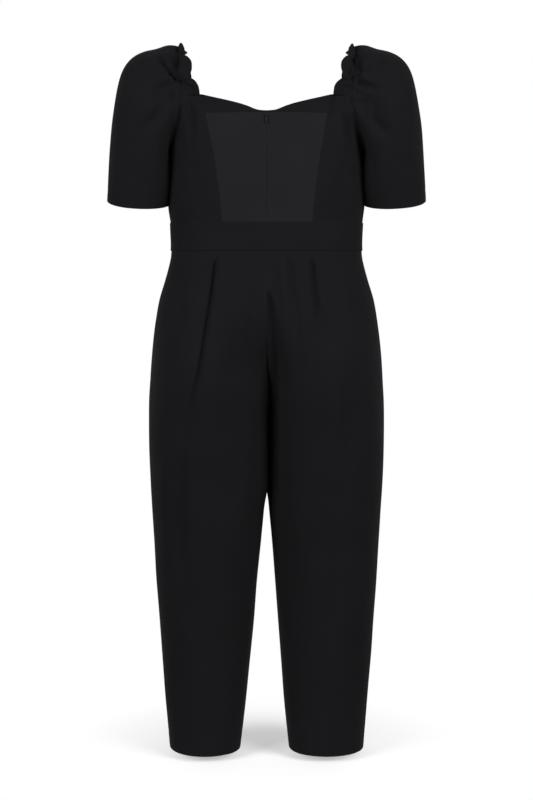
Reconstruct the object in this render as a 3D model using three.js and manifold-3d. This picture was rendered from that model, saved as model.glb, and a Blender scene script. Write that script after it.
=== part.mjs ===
import * as THREE from "three";
import { mergeVertices } from "three/addons/utils/BufferGeometryUtils.js";
import Module from "manifold-3d";

// Millimetres, +Z up. The origin lies between the two shoulder tops, where the garment is held.
// The back of the garment faces -Y. A drop is a distance below the shoulder tops.

// Cloth and seams
const CLOTH = 1.3;
const SEAM = 0.15;
const BAND_PROUD = 1.6;
const BAND_CLOTH = 2.4;
const TAPE_CLOTH = 1.0;
const TAPE_WIDTH = 10;
const TAPE_BEHIND = 0.4;
const FACING_BEHIND = 1.3;

// Heights of the main seams
const SHOULDER_FOOT = 92;
const INSET_TOP = 127;
const ARMHOLE_BOTTOM = 197;
const ARMHOLE_DEEP = 62;
const ARMHOLE_SQUARE = 2.5;
const SHOULDER_OUT = 163;
const BAND_TOP = 326;
const BAND_BOTTOM = 377.5;
const CROTCH = 662;
const KNEES_PART = 822;
const FRONT_NECK_DROP = 146;
const SEAT_FILL = 0.1;

// Pocket openings in the side seams, and the facing's width as a share of a panel
const POCKET_TOP = 468;
const POCKET_FOOT = 612;
const POCKET_SHARE = 0.085;

// The zip's slider and pull tab
const SLIDER_DROP = 133;
const SLIDER_WIDE = 4.6;
const SLIDER_LONG = 7.6;
const SLIDER_THICK = 1.3;
const SLIDER_CLEAR = 0.3;
const CROWN_INNER = 0.95;
const CROWN_OUTER = 1.75;
const CROWN_WIDE = 1.3;
const PULL_BAR = 1;
const PULL_WIDE = 4.2;
const PULL_LONG = 15;
const PULL_WINDOW = 3.1;

// Sections of the whole body: half the width, depth behind and in front, squareness of the oval
const BODY = [
  { drop: 60, half: 176, back: 90, front: 96, square: 2.6 },
  { drop: 92, half: 180, back: 97, front: 110, square: 2.6 },
  { drop: 125, half: 182, back: 102, front: 122, square: 2.6 },
  { drop: 188, half: 184, back: 108, front: 133, square: 2.6 },
  { drop: 250, half: 184.5, back: 108, front: 131, square: 2.5 },
  { drop: 290, half: 184.5, back: 106, front: 126, square: 2.45 },
  { drop: 326, half: 180, back: 105, front: 119, square: 2.4 },
  { drop: 350, half: 178.3, back: 106, front: 117, square: 2.35 },
  { drop: 378, half: 178.6, back: 110, front: 117, square: 2.3 },
  { drop: 395, half: 180.5, back: 115, front: 118, square: 2.3 },
  { drop: 432, half: 190, back: 126, front: 123, square: 2.25 },
  { drop: 470, half: 201, back: 136, front: 127, square: 2.2 },
  { drop: 508, half: 207.7, back: 143, front: 130, square: 2.2 },
  { drop: 545, half: 212.5, back: 147, front: 131, square: 2.2 },
  { drop: 583, half: 216, back: 149, front: 131, square: 2.2 },
  { drop: 620, half: 218, back: 149, front: 130, square: 2.2 },
  { drop: 662, half: 220, back: 147, front: 128, square: 2.2 },
  { drop: 740, half: 220, back: 140, front: 120, square: 2.2 },
  { drop: 820, half: 217, back: 130, front: 112, square: 2.2 },
  { drop: 846, half: 215.4, back: 126, front: 108, square: 2.2 },
  { drop: 921, half: 210.6, back: 118, front: 100, square: 2.2 },
  { drop: 996, half: 206.2, back: 110, front: 95, square: 2.2 },
  { drop: 1072, half: 200.5, back: 100, front: 90, square: 2.2 },
  { drop: 1147, half: 194.8, back: 90, front: 85, square: 2.2 },
  { drop: 1222, half: 188.8, back: 82, front: 80, square: 2.2 },
  { drop: 1306, half: 181.8, back: 77, front: 76, square: 2.2 },
];

// Sections of one leg: inner edge of the left and the right leg, depth behind and in front
const LEG = [
  { drop: 430, left: 0.7, right: 0.7, back: 128, front: 120 },
  { drop: 545, left: 0.7, right: 0.7, back: 145, front: 124 },
  { drop: 600, left: 0.7, right: 0.7, back: 143, front: 121 },
  { drop: 662, left: 0.7, right: 0.7, back: 137, front: 117 },
  { drop: 740, left: 0.7, right: 0.7, back: 128, front: 112 },
  { drop: 815, left: 0.8, right: 0.8, back: 119, front: 107 },
  { drop: 846, left: 3.8, right: 3.8, back: 116, front: 105 },
  { drop: 921, left: 11.3, right: 11.3, back: 106, front: 99 },
  { drop: 996, left: 18.8, right: 16.9, back: 98, front: 94 },
  { drop: 1072, left: 24.4, right: 22.6, back: 91, front: 89 },
  { drop: 1147, left: 32, right: 28.2, back: 85, front: 84 },
  { drop: 1222, left: 39.5, right: 33.8, back: 80, front: 80 },
  { drop: 1306, left: 49.5, right: 42.5, back: 76.5, front: 76 },
];

// The sleeve from the armhole to its hem: upper and lower ends of each ring, and half its depth
const SLEEVE = [
  { at: 0, upOut: 165.5, upDrop: 0, lowOut: 188, lowDrop: 198, deep: 62 },
  { at: 1, upOut: 186, upDrop: -3.5, lowOut: 187, lowDrop: 204, deep: 70 },
  { at: 2, upOut: 208, upDrop: 0, lowOut: 184, lowDrop: 212, deep: 76 },
  { at: 3, upOut: 230, upDrop: 4.5, lowOut: 181, lowDrop: 221, deep: 80 },
  { at: 4, upOut: 249, upDrop: 14, lowOut: 179, lowDrop: 231, deep: 83 },
  { at: 5, upOut: 264, upDrop: 30, lowOut: 177.5, lowDrop: 241, deep: 85 },
  { at: 6, upOut: 274, upDrop: 52, lowOut: 176.5, lowDrop: 250, deep: 86 },
  { at: 7, upOut: 282.5, upDrop: 88, lowOut: 176, lowDrop: 259, deep: 85 },
  { at: 8, upOut: 289.5, upDrop: 133, lowOut: 176, lowDrop: 268, deep: 82 },
  { at: 9, upOut: 293.5, upDrop: 181, lowOut: 176.5, lowDrop: 276, deep: 77 },
  { at: 10, upOut: 297, upDrop: 232, lowOut: 177.5, lowDrop: 283, deep: 71 },
  { at: 11, upOut: 299.5, upDrop: 282, lowOut: 179, lowDrop: 289, deep: 66 },
];
const SLEEVE_HEM_SLOPE = 0.24;
const SLEEVE_GAP = 0.6;
const SLEEVE_REST = 1;
const SLEEVE_GATHERS = 9;
const SLEEVE_GATHER_RISE = 3.4;

// Back neckline, and the inset's outer edge on each side
const NECKLINE = [
  { out: 0, drop: 123.4 },
  { out: 18, drop: 121.6 },
  { out: 38, drop: 114 },
  { out: 55, drop: 108.6 },
  { out: 98, drop: 97.7 },
  { out: 119, drop: 92 },
];
const INSET_EDGE = [
  { drop: 92, left: 122, right: 120 },
  { drop: 127, left: 112.5, right: 110.7 },
  { drop: 166, left: 103.5, right: 104.2 },
  { drop: 202, left: 96.2, right: 98 },
  { drop: 238, left: 90.8, right: 92.6 },
  { drop: 292, left: 83.5, right: 86.5 },
  { drop: 326, left: 81.7, right: 83.5 },
];

// The ruffle's free edge by its height, and its waves
const RUFFLE_EDGE = [
  { drop: 0, out: 153 },
  { drop: 12, out: 147 },
  { drop: 17, out: 150 },
  { drop: 26, out: 140.5 },
  { drop: 38, out: 137 },
  { drop: 57, out: 139 },
  { drop: 71, out: 127.5 },
  { drop: 84, out: 123.4 },
  { drop: 98, out: 121.5 },
];
const RUFFLE_DEEP = 90;
const RUFFLE_FRONT_NARROW = 9;
const RUFFLE_FRONT_DEEP = 9;
const RUFFLE_WAVES = 5;
const RUFFLE_RISE = 5.2;

// Largest folds of the trouser backs: where each runs, how deep and how wide
const FOLDS = [
  {
    side: -1,
    face: -1,
    deep: -7,
    wide: 15,
    line: [
      { drop: 380, out: 90 },
      { drop: 455, out: 96 },
      { drop: 548, out: 110 },
      { drop: 625, out: 121 },
      { drop: 700, out: 138 },
      { drop: 850, out: 156 },
    ],
  },
  {
    side: -1,
    face: -1,
    deep: 4.5,
    wide: 19,
    line: [
      { drop: 395, out: 66 },
      { drop: 548, out: 84 },
      { drop: 700, out: 110 },
      { drop: 800, out: 122 },
    ],
  },
  {
    side: 1,
    face: -1,
    deep: -4,
    wide: 15,
    line: [
      { drop: 380, out: 84 },
      { drop: 455, out: 86 },
      { drop: 540, out: 94 },
    ],
  },
  {
    side: 1,
    face: -1,
    deep: -3.5,
    wide: 14,
    line: [
      { drop: 380, out: 43 },
      { drop: 455, out: 47 },
      { drop: 540, out: 56 },
    ],
  },
  {
    side: -1,
    face: -1,
    deep: -4,
    wide: 16,
    line: [
      { drop: 800, out: 156 },
      { drop: 950, out: 158 },
      { drop: 1120, out: 150 },
    ],
  },
  {
    side: 1,
    face: -1,
    deep: -4,
    wide: 17,
    line: [
      { drop: 690, out: 40 },
      { drop: 860, out: 52 },
      { drop: 1040, out: 70 },
      { drop: 1180, out: 84 },
    ],
  },
  {
    side: -1,
    face: 1,
    deep: -6,
    wide: 17,
    line: [
      { drop: 380, out: 84 },
      { drop: 560, out: 92 },
      { drop: 800, out: 104 },
    ],
  },
  {
    side: 1,
    face: 1,
    deep: -5,
    wide: 17,
    line: [
      { drop: 380, out: 88 },
      { drop: 540, out: 98 },
      { drop: 720, out: 104 },
    ],
  },
];

// Colours
const CREPE = 0x1b1b1c;
const INSET = 0x2a2a2c;
const TAPE = 0x161617;
const METAL = 0x8d8d90;

const jumpsuit = new THREE.Group();

// Reads one column of a table at a height, through a smooth curve
function read(table, key, column, at) {
  const last = table.length - 1;
  if (at <= table[0][key]) return table[0][column];
  if (at >= table[last][key]) return table[last][column];
  let i = 0;
  while (table[i + 1][key] < at) i += 1;
  const a = table[Math.max(i - 1, 0)];
  const b = table[i];
  const c = table[i + 1];
  const d = table[Math.min(i + 2, last)];
  const h = c[key] - b[key];
  const slope = (p, q) => (q[key] === p[key] ? 0 : (q[column] - p[column]) / (q[key] - p[key]));
  const m0 = a === b ? slope(b, c) : slope(a, c);
  const m1 = c === d ? slope(b, c) : slope(b, d);
  const t = (at - b[key]) / h;
  const t2 = t * t;
  const t3 = t2 * t;
  return (
    (2 * t3 - 3 * t2 + 1) * b[column] +
    (t3 - 2 * t2 + t) * h * m0 +
    (3 * t2 - 2 * t3) * c[column] +
    (t3 - t2) * h * m1
  );
}

const mix = (a, b, t) => a + (b - a) * t;

function smooth(lo, hi, x) {
  const t = Math.min(1, Math.max(0, (x - lo) / (hi - lo)));
  return t * t * (3 - 2 * t);
}

// A wall of cloth: a grid of points, moved out or in along its normals, with a second skin behind it
function wall(name, colour, across, down, point, options = {}) {
  const around = options.around || false;
  const thick = options.thick || CLOTH;
  const lift = options.lift || 0;
  const trims = options.trims || { first: SEAM, last: SEAM, top: SEAM, foot: SEAM };
  const columns = around ? across : across + 1;
  const rows = down + 1;
  const grid = [];
  for (let j = 0; j < rows; j += 1) {
    const row = [];
    for (let i = 0; i < columns; i += 1) {
      row.push(new THREE.Vector3(...point(i / across, j / down)));
    }
    grid.push(row);
  }
  const at = (i, j) => {
    const c = around ? (i + columns) % columns : Math.min(Math.max(i, 0), columns - 1);
    return grid[Math.min(Math.max(j, 0), rows - 1)][c];
  };
  const outward = options.outward || 1;
  const normals = grid.map((row, j) =>
    row.map((p, i) => {
      const du = at(i + 1, j).clone().sub(at(i - 1, j));
      const dv = at(i, j + 1).clone().sub(at(i, j - 1));
      return du.cross(dv).normalize().multiplyScalar(outward);
    }),
  );
  if (options.relief) {
    grid.forEach((row, j) =>
      row.forEach((p, i) => p.addScaledVector(normals[j][i], options.relief(p, i / across, j / down))),
    );
  }
  const pull = (p, q, by) => p.addScaledVector(q.clone().sub(p).normalize(), by);
  if (!around) {
    grid.forEach((row) => {
      if (trims.first) pull(row[0], row[1], trims.first);
      if (trims.last) pull(row[columns - 1], row[columns - 2], trims.last);
    });
  }
  for (let i = 0; i < columns; i += 1) {
    if (trims.top) pull(grid[0][i], grid[1][i], trims.top);
    if (trims.foot) pull(grid[rows - 1][i], grid[rows - 2][i], trims.foot);
  }
  const points = [];
  for (const depth of [lift, lift - thick]) {
    grid.forEach((row, j) =>
      row.forEach((p, i) => {
        const q = p.clone().addScaledVector(normals[j][i], depth);
        points.push(q.x, q.y, q.z);
      }),
    );
  }
  const skin = rows * columns;
  const id = (i, j, s) => s * skin + j * columns + (around ? i % columns : i);
  const faces = [];
  const quad = (a, b, c, d) => faces.push(a, b, c, a, c, d);
  const steps = around ? columns : columns - 1;
  for (let j = 0; j < rows - 1; j += 1) {
    for (let i = 0; i < steps; i += 1) {
      quad(id(i, j, 0), id(i + 1, j, 0), id(i + 1, j + 1, 0), id(i, j + 1, 0));
      quad(id(i, j, 1), id(i, j + 1, 1), id(i + 1, j + 1, 1), id(i + 1, j, 1));
    }
  }
  for (let i = 0; i < steps; i += 1) {
    quad(id(i + 1, 0, 0), id(i, 0, 0), id(i, 0, 1), id(i + 1, 0, 1));
    quad(id(i, rows - 1, 0), id(i + 1, rows - 1, 0), id(i + 1, rows - 1, 1), id(i, rows - 1, 1));
  }
  if (!around) {
    for (let j = 0; j < rows - 1; j += 1) {
      quad(id(0, j, 0), id(0, j + 1, 0), id(0, j + 1, 1), id(0, j, 1));
      const last = columns - 1;
      quad(id(last, j + 1, 0), id(last, j, 0), id(last, j, 1), id(last, j + 1, 1));
    }
  }
  add(name, colour, points, faces);
}

// Adds a closed mesh to the garment, turned so that its faces look outward
function add(name, colour, points, faces) {
  let volume = 0;
  const v = (k) => new THREE.Vector3(points[3 * k], points[3 * k + 1], points[3 * k + 2]);
  for (let f = 0; f < faces.length; f += 3) {
    volume += v(faces[f]).dot(v(faces[f + 1]).cross(v(faces[f + 2])));
  }
  if (volume < 0) {
    for (let f = 0; f < faces.length; f += 3) {
      [faces[f + 1], faces[f + 2]] = [faces[f + 2], faces[f + 1]];
    }
  }
  const geometry = new THREE.BufferGeometry();
  geometry.setAttribute("position", new THREE.Float32BufferAttribute(points, 3));
  geometry.setIndex(faces);
  geometry.computeVertexNormals();
  const material = new THREE.MeshStandardMaterial({ color: colour, roughness: 0.9, metalness: 0 });
  const mesh = new THREE.Mesh(geometry, material);
  mesh.name = name;
  jumpsuit.add(mesh);
}

const sideName = (side) => (side < 0 ? "left" : "right");
const bodyAt = (column, drop) => read(BODY, "drop", column, drop);

// A point of the body oval: turn 0 at the centre of the back or front, a right angle at the side
function bodyPoint(side, face, turn, drop) {
  const power = 2 / bodyAt("square", drop);
  const deep = bodyAt(face < 0 ? "back" : "front", drop);
  return [
    side * bodyAt("half", drop) * Math.sin(turn) ** power,
    face * deep * Math.max(Math.cos(turn), 0) ** power,
    -drop,
  ];
}

// The turn at which the body oval is a given distance out from the centre
function turnAt(out, drop) {
  const share = Math.min(out / bodyAt("half", drop), 1);
  return Math.asin(share ** (bodyAt("square", drop) / 2));
}

// How deep the armhole is at a height, from the shoulder line to its edge
function armholeDeep(drop) {
  const middle = ARMHOLE_BOTTOM / 2;
  const away = Math.abs(drop - middle) / middle;
  return ARMHOLE_DEEP * Math.max(0, 1 - away ** ARMHOLE_SQUARE) ** (1 / ARMHOLE_SQUARE);
}

// The turn at which a panel ends at the armhole, or at the side seam below it
function armholeTurn(face, drop) {
  if (drop >= ARMHOLE_BOTTOM) return Math.PI / 2;
  const share = armholeDeep(drop) / bodyAt(face < 0 ? "back" : "front", drop);
  return Math.acos(share ** (bodyAt("square", drop) / 2));
}

// How far out from the centre the armhole's edge lies at a height
function armholeOut(face, drop) {
  if (drop >= SHOULDER_FOOT) return bodyPoint(1, face, armholeTurn(face, drop), drop)[0];
  const foot = bodyPoint(1, face, armholeTurn(face, SHOULDER_FOOT), SHOULDER_FOOT)[0];
  return mix(SHOULDER_OUT, foot, smooth(0, SHOULDER_FOOT, drop));
}

// How far out the bodice reaches at a height and a distance from the shoulder line
function bodiceOut(face, y, drop) {
  if (drop < 120) return 0;
  const square = bodyAt("square", drop);
  const share = Math.min(1, Math.abs(y) / bodyAt(face < 0 ? "back" : "front", drop));
  return bodyAt("half", drop) * (1 - share ** square) ** (1 / square);
}

// A unit oval, squarer than a circle, at a turn from its top
function squareOval(turn, square) {
  const round = (value) => Math.sign(value) * Math.abs(value) ** (2 / square);
  return { up: round(Math.cos(turn)), side: round(Math.sin(turn)) };
}

// Rows of the bodice, closer together round the foot of the armhole
const BODICE_ROWS = [92, 110, 127, 147, 166, 181, 191, 197, 216, 252, 290, 326];
function bodiceDrop(down) {
  const place = down * (BODICE_ROWS.length - 1);
  const i = Math.min(Math.floor(place), BODICE_ROWS.length - 2);
  return mix(BODICE_ROWS[i], BODICE_ROWS[i + 1], place - i);
}

// Side backs
for (const side of [-1, 1]) {
  wall(
    "side_back_" + sideName(side),
    CREPE,
    9,
    BODICE_ROWS.length - 1,
    (u, v) => {
      const drop = bodiceDrop(v);
      const inner = turnAt(read(INSET_EDGE, "drop", sideName(side), drop), drop);
      return bodyPoint(side, -1, mix(armholeTurn(-1, drop), inner, u), drop);
    },
    {
      outward: side,
      relief: (p, u, v) => {
        const fade = smooth(0.02, 0.2, v) * (1 - smooth(0.45, 0.8, v));
        return -2.6 * Math.exp(-(((u - 0.32) / 0.16) ** 2)) * fade;
      },
    },
  );
}

// Centre-back insets, and the neck band over them
for (const side of [-1, 1]) {
  const name = sideName(side);
  wall(
    "inset_" + name,
    INSET,
    6,
    8,
    (u, v) => {
      const drop = mix(INSET_TOP, BAND_TOP, v);
      const outer = turnAt(read(INSET_EDGE, "drop", name, drop), drop);
      return bodyPoint(side, -1, mix(outer, 0, u), drop);
    },
    { outward: side },
  );
  wall(
    "neck_band_" + name,
    CREPE,
    10,
    2,
    (u, v) => {
      const topOut = read(INSET_EDGE, "drop", name, SHOULDER_FOOT) * (1 - u);
      const drop = mix(read(NECKLINE, "out", "drop", topOut), INSET_TOP, v);
      const out = read(INSET_EDGE, "drop", name, drop) * (1 - u);
      return bodyPoint(side, -1, turnAt(out, drop), drop);
    },
    { outward: side, trims: { first: SEAM, last: SEAM, top: SEAM, foot: SEAM } },
  );
}

// Bodice front, one piece from side to side
function frontNeck(out) {
  return mix(FRONT_NECK_DROP, SHOULDER_FOOT, smooth(30, 122, out));
}
wall(
  "bodice_front",
  CREPE,
  26,
  BODICE_ROWS.length - 1,
  (u, v) => {
    const across = 2 * u - 1;
    const side = across < 0 ? -1 : 1;
    const edge = armholeTurn(1, SHOULDER_FOOT);
    const out = bodyPoint(1, 1, edge * Math.abs(across), SHOULDER_FOOT)[0];
    const plain = bodiceDrop(v);
    const share = (plain - SHOULDER_FOOT) / (BAND_TOP - SHOULDER_FOOT);
    const drop = mix(frontNeck(out), BAND_TOP, share);
    const turn = armholeTurn(1, plain) * Math.abs(across);
    return bodyPoint(side, 1, turn, mix(drop, plain, smooth(0.75, 1, Math.abs(across))));
  },
  { outward: 1 },
);

// Shoulder ruffles: a gathered strap along the armhole, with a free edge that waves
function ruffleWave(u, w, side) {
  const phase = side < 0 ? 0.4 : 1.3;
  return RUFFLE_RISE * w * Math.sin(2 * Math.PI * RUFFLE_WAVES * u + phase) + 2.5 * w;
}
for (const side of [-1, 1]) {
  const middle = ARMHOLE_BOTTOM / 2;
  const start = Math.acos((1 - (SHOULDER_FOOT - SEAM) / middle) ** (ARMHOLE_SQUARE / 2));
  wall(
    "shoulder_ruffle_" + sideName(side),
    CREPE,
    28,
    4,
    (u, v) => {
      const turn = mix(-start, start, u);
      const oval = squareOval(turn, ARMHOLE_SQUARE);
      const drop = middle * (1 - oval.up);
      const face = turn < 0 ? -1 : 1;
      const front = smooth(0, 0.8, turn);
      const narrow = RUFFLE_FRONT_NARROW * front * (1 - smooth(60, 98, drop));
      const free = read(RUFFLE_EDGE, "drop", "out", drop) + narrow;
      const deep = mix(ARMHOLE_DEEP, RUFFLE_DEEP + RUFFLE_FRONT_DEEP * front, v);
      return [side * mix(armholeOut(face, drop), free, v), oval.side * deep, -drop];
    },
    {
      outward: side,
      relief: (p, u, v) => {
        const ends = smooth(0, 0.09, u) * (1 - smooth(0.91, 1, u));
        const tuft = 7 * Math.exp(-(((u - 0.47) / 0.06) ** 2)) * (1 - v * 0.4);
        return (ruffleWave(u, v, side) + tuft) * ends;
      },
      trims: { first: 0, last: 0, top: SEAM, foot: 0 },
    },
  );
}

// Sleeves: rings that turn from the armhole to the hem
for (const side of [-1, 1]) {
  const last = SLEEVE.length - 1;
  wall(
    "sleeve_" + sideName(side),
    CREPE,
    32,
    last,
    (u, v) => {
      const at = (column) => read(SLEEVE, "at", column, v * last);
      const turn = 2 * Math.PI * u;
      const oval = squareOval(turn, mix(ARMHOLE_SQUARE, 2.15, smooth(0, 0.6, v)));
      const up = (1 + oval.up) / 2;
      const y = at("deep") * oval.side;
      const face = y < 0 ? -1 : 1;
      const plain = mix(at("lowOut"), at("upOut"), up);
      const startOut = armholeOut(face, mix(ARMHOLE_BOTTOM, 0, up)) + SLEEVE_GAP;
      const ring = mix(SLEEVE[0].lowOut, SLEEVE[0].upOut, up);
      const drop = mix(at("lowDrop"), at("upDrop"), up) - SLEEVE_HEM_SLOPE * y * v * v;
      const out = plain + (startOut - ring) * (1 - v) ** 3;
      return [side * Math.max(out, bodiceOut(face, y, drop) + SLEEVE_REST), y, -drop];
    },
    {
      around: true,
      outward: -side,
      relief: (p, u, v) => {
        const cap = smooth(-0.2, 0.7, Math.cos(2 * Math.PI * u));
        const fade = smooth(0, 0.12, v) * (1 - smooth(0.3, 0.95, v));
        return SLEEVE_GATHER_RISE * cap * fade * Math.cos(2 * Math.PI * SLEEVE_GATHERS * u);
      },
      trims: { top: 0, foot: 0 },
    },
  );
}

// Waistband: one piece in front, two behind
wall(
  "waistband_front",
  CREPE,
  30,
  2,
  (u, v) => {
    const across = 2 * u - 1;
    return bodyPoint(across < 0 ? -1 : 1, 1, (Math.PI / 2) * Math.abs(across), mix(BAND_TOP, BAND_BOTTOM, v));
  },
  { outward: 1, lift: BAND_PROUD, thick: BAND_CLOTH },
);
for (const side of [-1, 1]) {
  wall(
    "waistband_back_" + sideName(side),
    CREPE,
    16,
    2,
    (u, v) => bodyPoint(side, -1, (Math.PI / 2) * (1 - u), mix(BAND_TOP, BAND_BOTTOM, v)),
    { outward: side, lift: BAND_PROUD, thick: BAND_CLOTH },
  );
}

// A point of a trouser panel: 0 at the side seam, 1 at the centre seam or the inseam
function trouserPoint(side, face, u, drop) {
  const body = bodyPoint(side, face, (Math.PI / 2) * (1 - u), drop);
  const outer = bodyAt("half", drop);
  const inner = read(LEG, "drop", sideName(side), drop);
  const deep = read(LEG, "drop", face < 0 ? "back" : "front", drop);
  const middle = (outer + inner) / 2;
  const wide = (outer - inner) / 2;
  const leg = [side * (middle + wide * Math.cos(Math.PI * u)), face * deep * Math.sin(Math.PI * u) ** 0.94];
  const start = face < 0 ? 430 : 480;
  const sink = Math.min(1, Math.max(0, (drop - start) / (CROTCH - start)));
  const seamShare = sink ** 2.2;
  const panelShare = smooth(start, CROTCH + 50, drop);
  const share = mix(panelShare, seamShare, smooth(0.6, 1, u));
  const fill = 1 + SEAT_FILL * 4 * share * (1 - share) * Math.sin(Math.PI * u);
  let x = mix(body[0], leg[0], share);
  const y = mix(body[1], leg[1], share) * fill;
  const between = smooth(CROTCH - 60, CROTCH + 10, drop) * (1 - smooth(KNEES_PART, KNEES_PART + 60, drop));
  x += 3.2 * Math.tanh(y / 22) * between * Math.exp(-((x / 34) ** 2));
  return [x, y, -drop];
}

// How far the cloth stands out or in at a point of the trousers
function foldAt(side, face, x, drop) {
  let rise = 0;
  for (const fold of FOLDS) {
    const first = fold.line[0].drop;
    const end = fold.line[fold.line.length - 1].drop;
    if (fold.side === side && fold.face === face && drop > first - 20 && drop < end + 40) {
      const away = (Math.abs(x) - read(fold.line, "drop", "out", drop)) / fold.wide;
      const fade = smooth(first - 20, first + 30, drop) * (1 - smooth(end - 60, end + 40, drop));
      rise += fold.deep * Math.exp(-away * away) * fade;
    }
  }
  return rise;
}

// Rows of a trouser panel, closer together round the crotch
const TROUSER_ROWS = [
  377.5, 392, 410, 432, 456, 482, 508, 534, 558, 580, 600, 618, 633, 645, 654, 660, 666, 676, 694, 724, 764,
  806, 842, 896, 970, 1055, 1140, 1226, 1306,
];
const FRONT_ROWS = [
  377.5, 410, 456, 508, 548, 580, 604, 624, 639, 650, 658, 664, 676, 700, 750, 806, 842, 920, 1040, 1180,
  1306,
];
for (const face of [-1, 1]) {
  const rows = face < 0 ? TROUSER_ROWS : FRONT_ROWS;
  for (const side of [-1, 1]) {
    wall(
      (face < 0 ? "trouser_back_" : "trouser_front_") + sideName(side),
      CREPE,
      face < 0 ? 26 : 14,
      rows.length - 1,
      (u, v) => trouserPoint(side, face, u, rows[Math.round(v * (rows.length - 1))]),
      {
        outward: -face * side,
        relief: (p) => foldAt(side, face, p.x, -p.z),
        trims: { first: SEAM, last: SEAM, top: SEAM, foot: 0 },
      },
    );
  }
}

// Zip tapes behind the centre-back edges
for (const side of [-1, 1]) {
  wall(
    "zip_tape_" + sideName(side),
    TAPE,
    2,
    8,
    (u, v) => {
      const drop = mix(125, 372, v);
      return bodyPoint(side, -1, turnAt(mix(TAPE_WIDTH, 0.35, u), drop), drop);
    },
    {
      outward: side,
      lift: -CLOTH - TAPE_BEHIND,
      thick: TAPE_CLOTH,
      trims: { first: 0, last: 0, top: 0, foot: 0 },
    },
  );
}

// Pocket facings, behind the opening in each side seam
for (const side of [-1, 1]) {
  wall(
    "pocket_facing_" + sideName(side),
    CREPE,
    6,
    6,
    (u, v) => {
      const across = 2 * u - 1;
      const drop = mix(POCKET_TOP, POCKET_FOOT, v);
      return trouserPoint(side, across < 0 ? -1 : 1, POCKET_SHARE * Math.abs(across), drop);
    },
    {
      outward: -side,
      lift: -CLOTH - FACING_BEHIND,
      thick: TAPE_CLOTH,
      trims: { first: 0, last: 0, top: 0, foot: 0 },
    },
  );
}

// The zip's slider and pull tab, in a group set square to the cloth at the centre back:
// X across, Y up along the cloth and Z out of it
const seatAt = bodyPoint(1, -1, 0, SLIDER_DROP);
const lowerAt = bodyPoint(1, -1, 0, SLIDER_DROP + 12);
const zipHead = new THREE.Group();
zipHead.position.set(0, seatAt[1], seatAt[2]);
zipHead.rotation.x = Math.PI / 2 - Math.atan2(seatAt[1] - lowerAt[1], 12);
jumpsuit.add(zipHead);

// A rectangle with rounded corners, from its low corner
function roundedRect(x, y, wide, high, radius) {
  const shape = new THREE.Shape();
  shape.absarc(x + wide - radius, y + radius, radius, -Math.PI / 2, 0);
  shape.absarc(x + wide - radius, y + high - radius, radius, 0, Math.PI / 2);
  shape.absarc(x + radius, y + high - radius, radius, Math.PI / 2, Math.PI);
  shape.absarc(x + radius, y + radius, radius, Math.PI, Math.PI * 1.5);
  shape.closePath();
  return shape;
}

function extruded(shape, depth) {
  return new THREE.ExtrudeGeometry(shape, { depth, bevelEnabled: false, curveSegments: 6 });
}

// Joins closed geometries into one
const wasm = await Module();
wasm.setup();
function joined(geometries) {
  const solids = geometries.map((geometry) => {
    const bare = geometry.clone();
    bare.deleteAttribute("normal");
    bare.deleteAttribute("uv");
    const merged = mergeVertices(bare, 1e-4);
    return new wasm.Manifold(
      new wasm.Mesh({
        numProp: 3,
        vertProperties: merged.attributes.position.array,
        triVerts: new Uint32Array(merged.index.array),
      }),
    );
  });
  const mesh = solids.reduce((a, b) => a.add(b)).getMesh();
  const geometry = new THREE.BufferGeometry();
  geometry.setAttribute("position", new THREE.BufferAttribute(mesh.vertProperties, 3));
  geometry.setIndex(new THREE.BufferAttribute(mesh.triVerts, 1));
  geometry.computeVertexNormals();
  return geometry;
}

const plate = extruded(
  roundedRect(-SLIDER_WIDE / 2, -SLIDER_LONG / 2, SLIDER_WIDE, SLIDER_LONG, 1.2),
  SLIDER_THICK,
);
plate.translate(0, 0, SLIDER_CLEAR);

// The crown is an arch over the pull's bar, drawn from the side
const pivotOut = SLIDER_CLEAR + SLIDER_THICK + PULL_BAR;
const crownFoot = SLIDER_CLEAR + SLIDER_THICK * 0.5;
const arch = new THREE.Shape();
arch.moveTo(CROWN_OUTER, crownFoot);
arch.absarc(0, pivotOut, CROWN_OUTER, 0, Math.PI);
arch.lineTo(-CROWN_OUTER, crownFoot);
arch.lineTo(-CROWN_INNER, crownFoot);
arch.absarc(0, pivotOut, CROWN_INNER, Math.PI, 0, true);
arch.lineTo(CROWN_INNER, crownFoot);
arch.closePath();
const crown = extruded(arch, CROWN_WIDE);
crown.translate(0, 0, -CROWN_WIDE / 2);
crown.applyMatrix4(
  new THREE.Matrix4().makeBasis(
    new THREE.Vector3(0, 1, 0),
    new THREE.Vector3(0, 0, 1),
    new THREE.Vector3(1, 0, 0),
  ),
);

const tabShape = roundedRect(-PULL_WIDE / 2, PULL_BAR / 2 - PULL_LONG, PULL_WIDE, PULL_LONG, 0.95);
const windowWide = CROWN_WIDE + 1;
const windowPath = new THREE.Path();
windowPath.moveTo(-windowWide / 2, -PULL_BAR / 2);
windowPath.lineTo(-windowWide / 2, -PULL_BAR / 2 - PULL_WINDOW);
windowPath.lineTo(windowWide / 2, -PULL_BAR / 2 - PULL_WINDOW);
windowPath.lineTo(windowWide / 2, -PULL_BAR / 2);
windowPath.closePath();
tabShape.holes.push(windowPath);
const tab = extruded(tabShape, PULL_BAR);
tab.translate(0, 0, pivotOut - PULL_BAR / 2);

for (const [name, geometry] of [
  ["zip_slider", joined([plate, crown])],
  ["zip_pull", tab],
]) {
  const metal = new THREE.MeshStandardMaterial({ color: METAL, roughness: 0.45, metalness: 0.6 });
  const mesh = new THREE.Mesh(geometry, metal);
  mesh.name = name;
  zipHead.add(mesh);
}

export default jumpsuit;
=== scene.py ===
"""A black crepe jumpsuit seen from behind: its cloth, seams, zip and studio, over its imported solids."""

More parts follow.
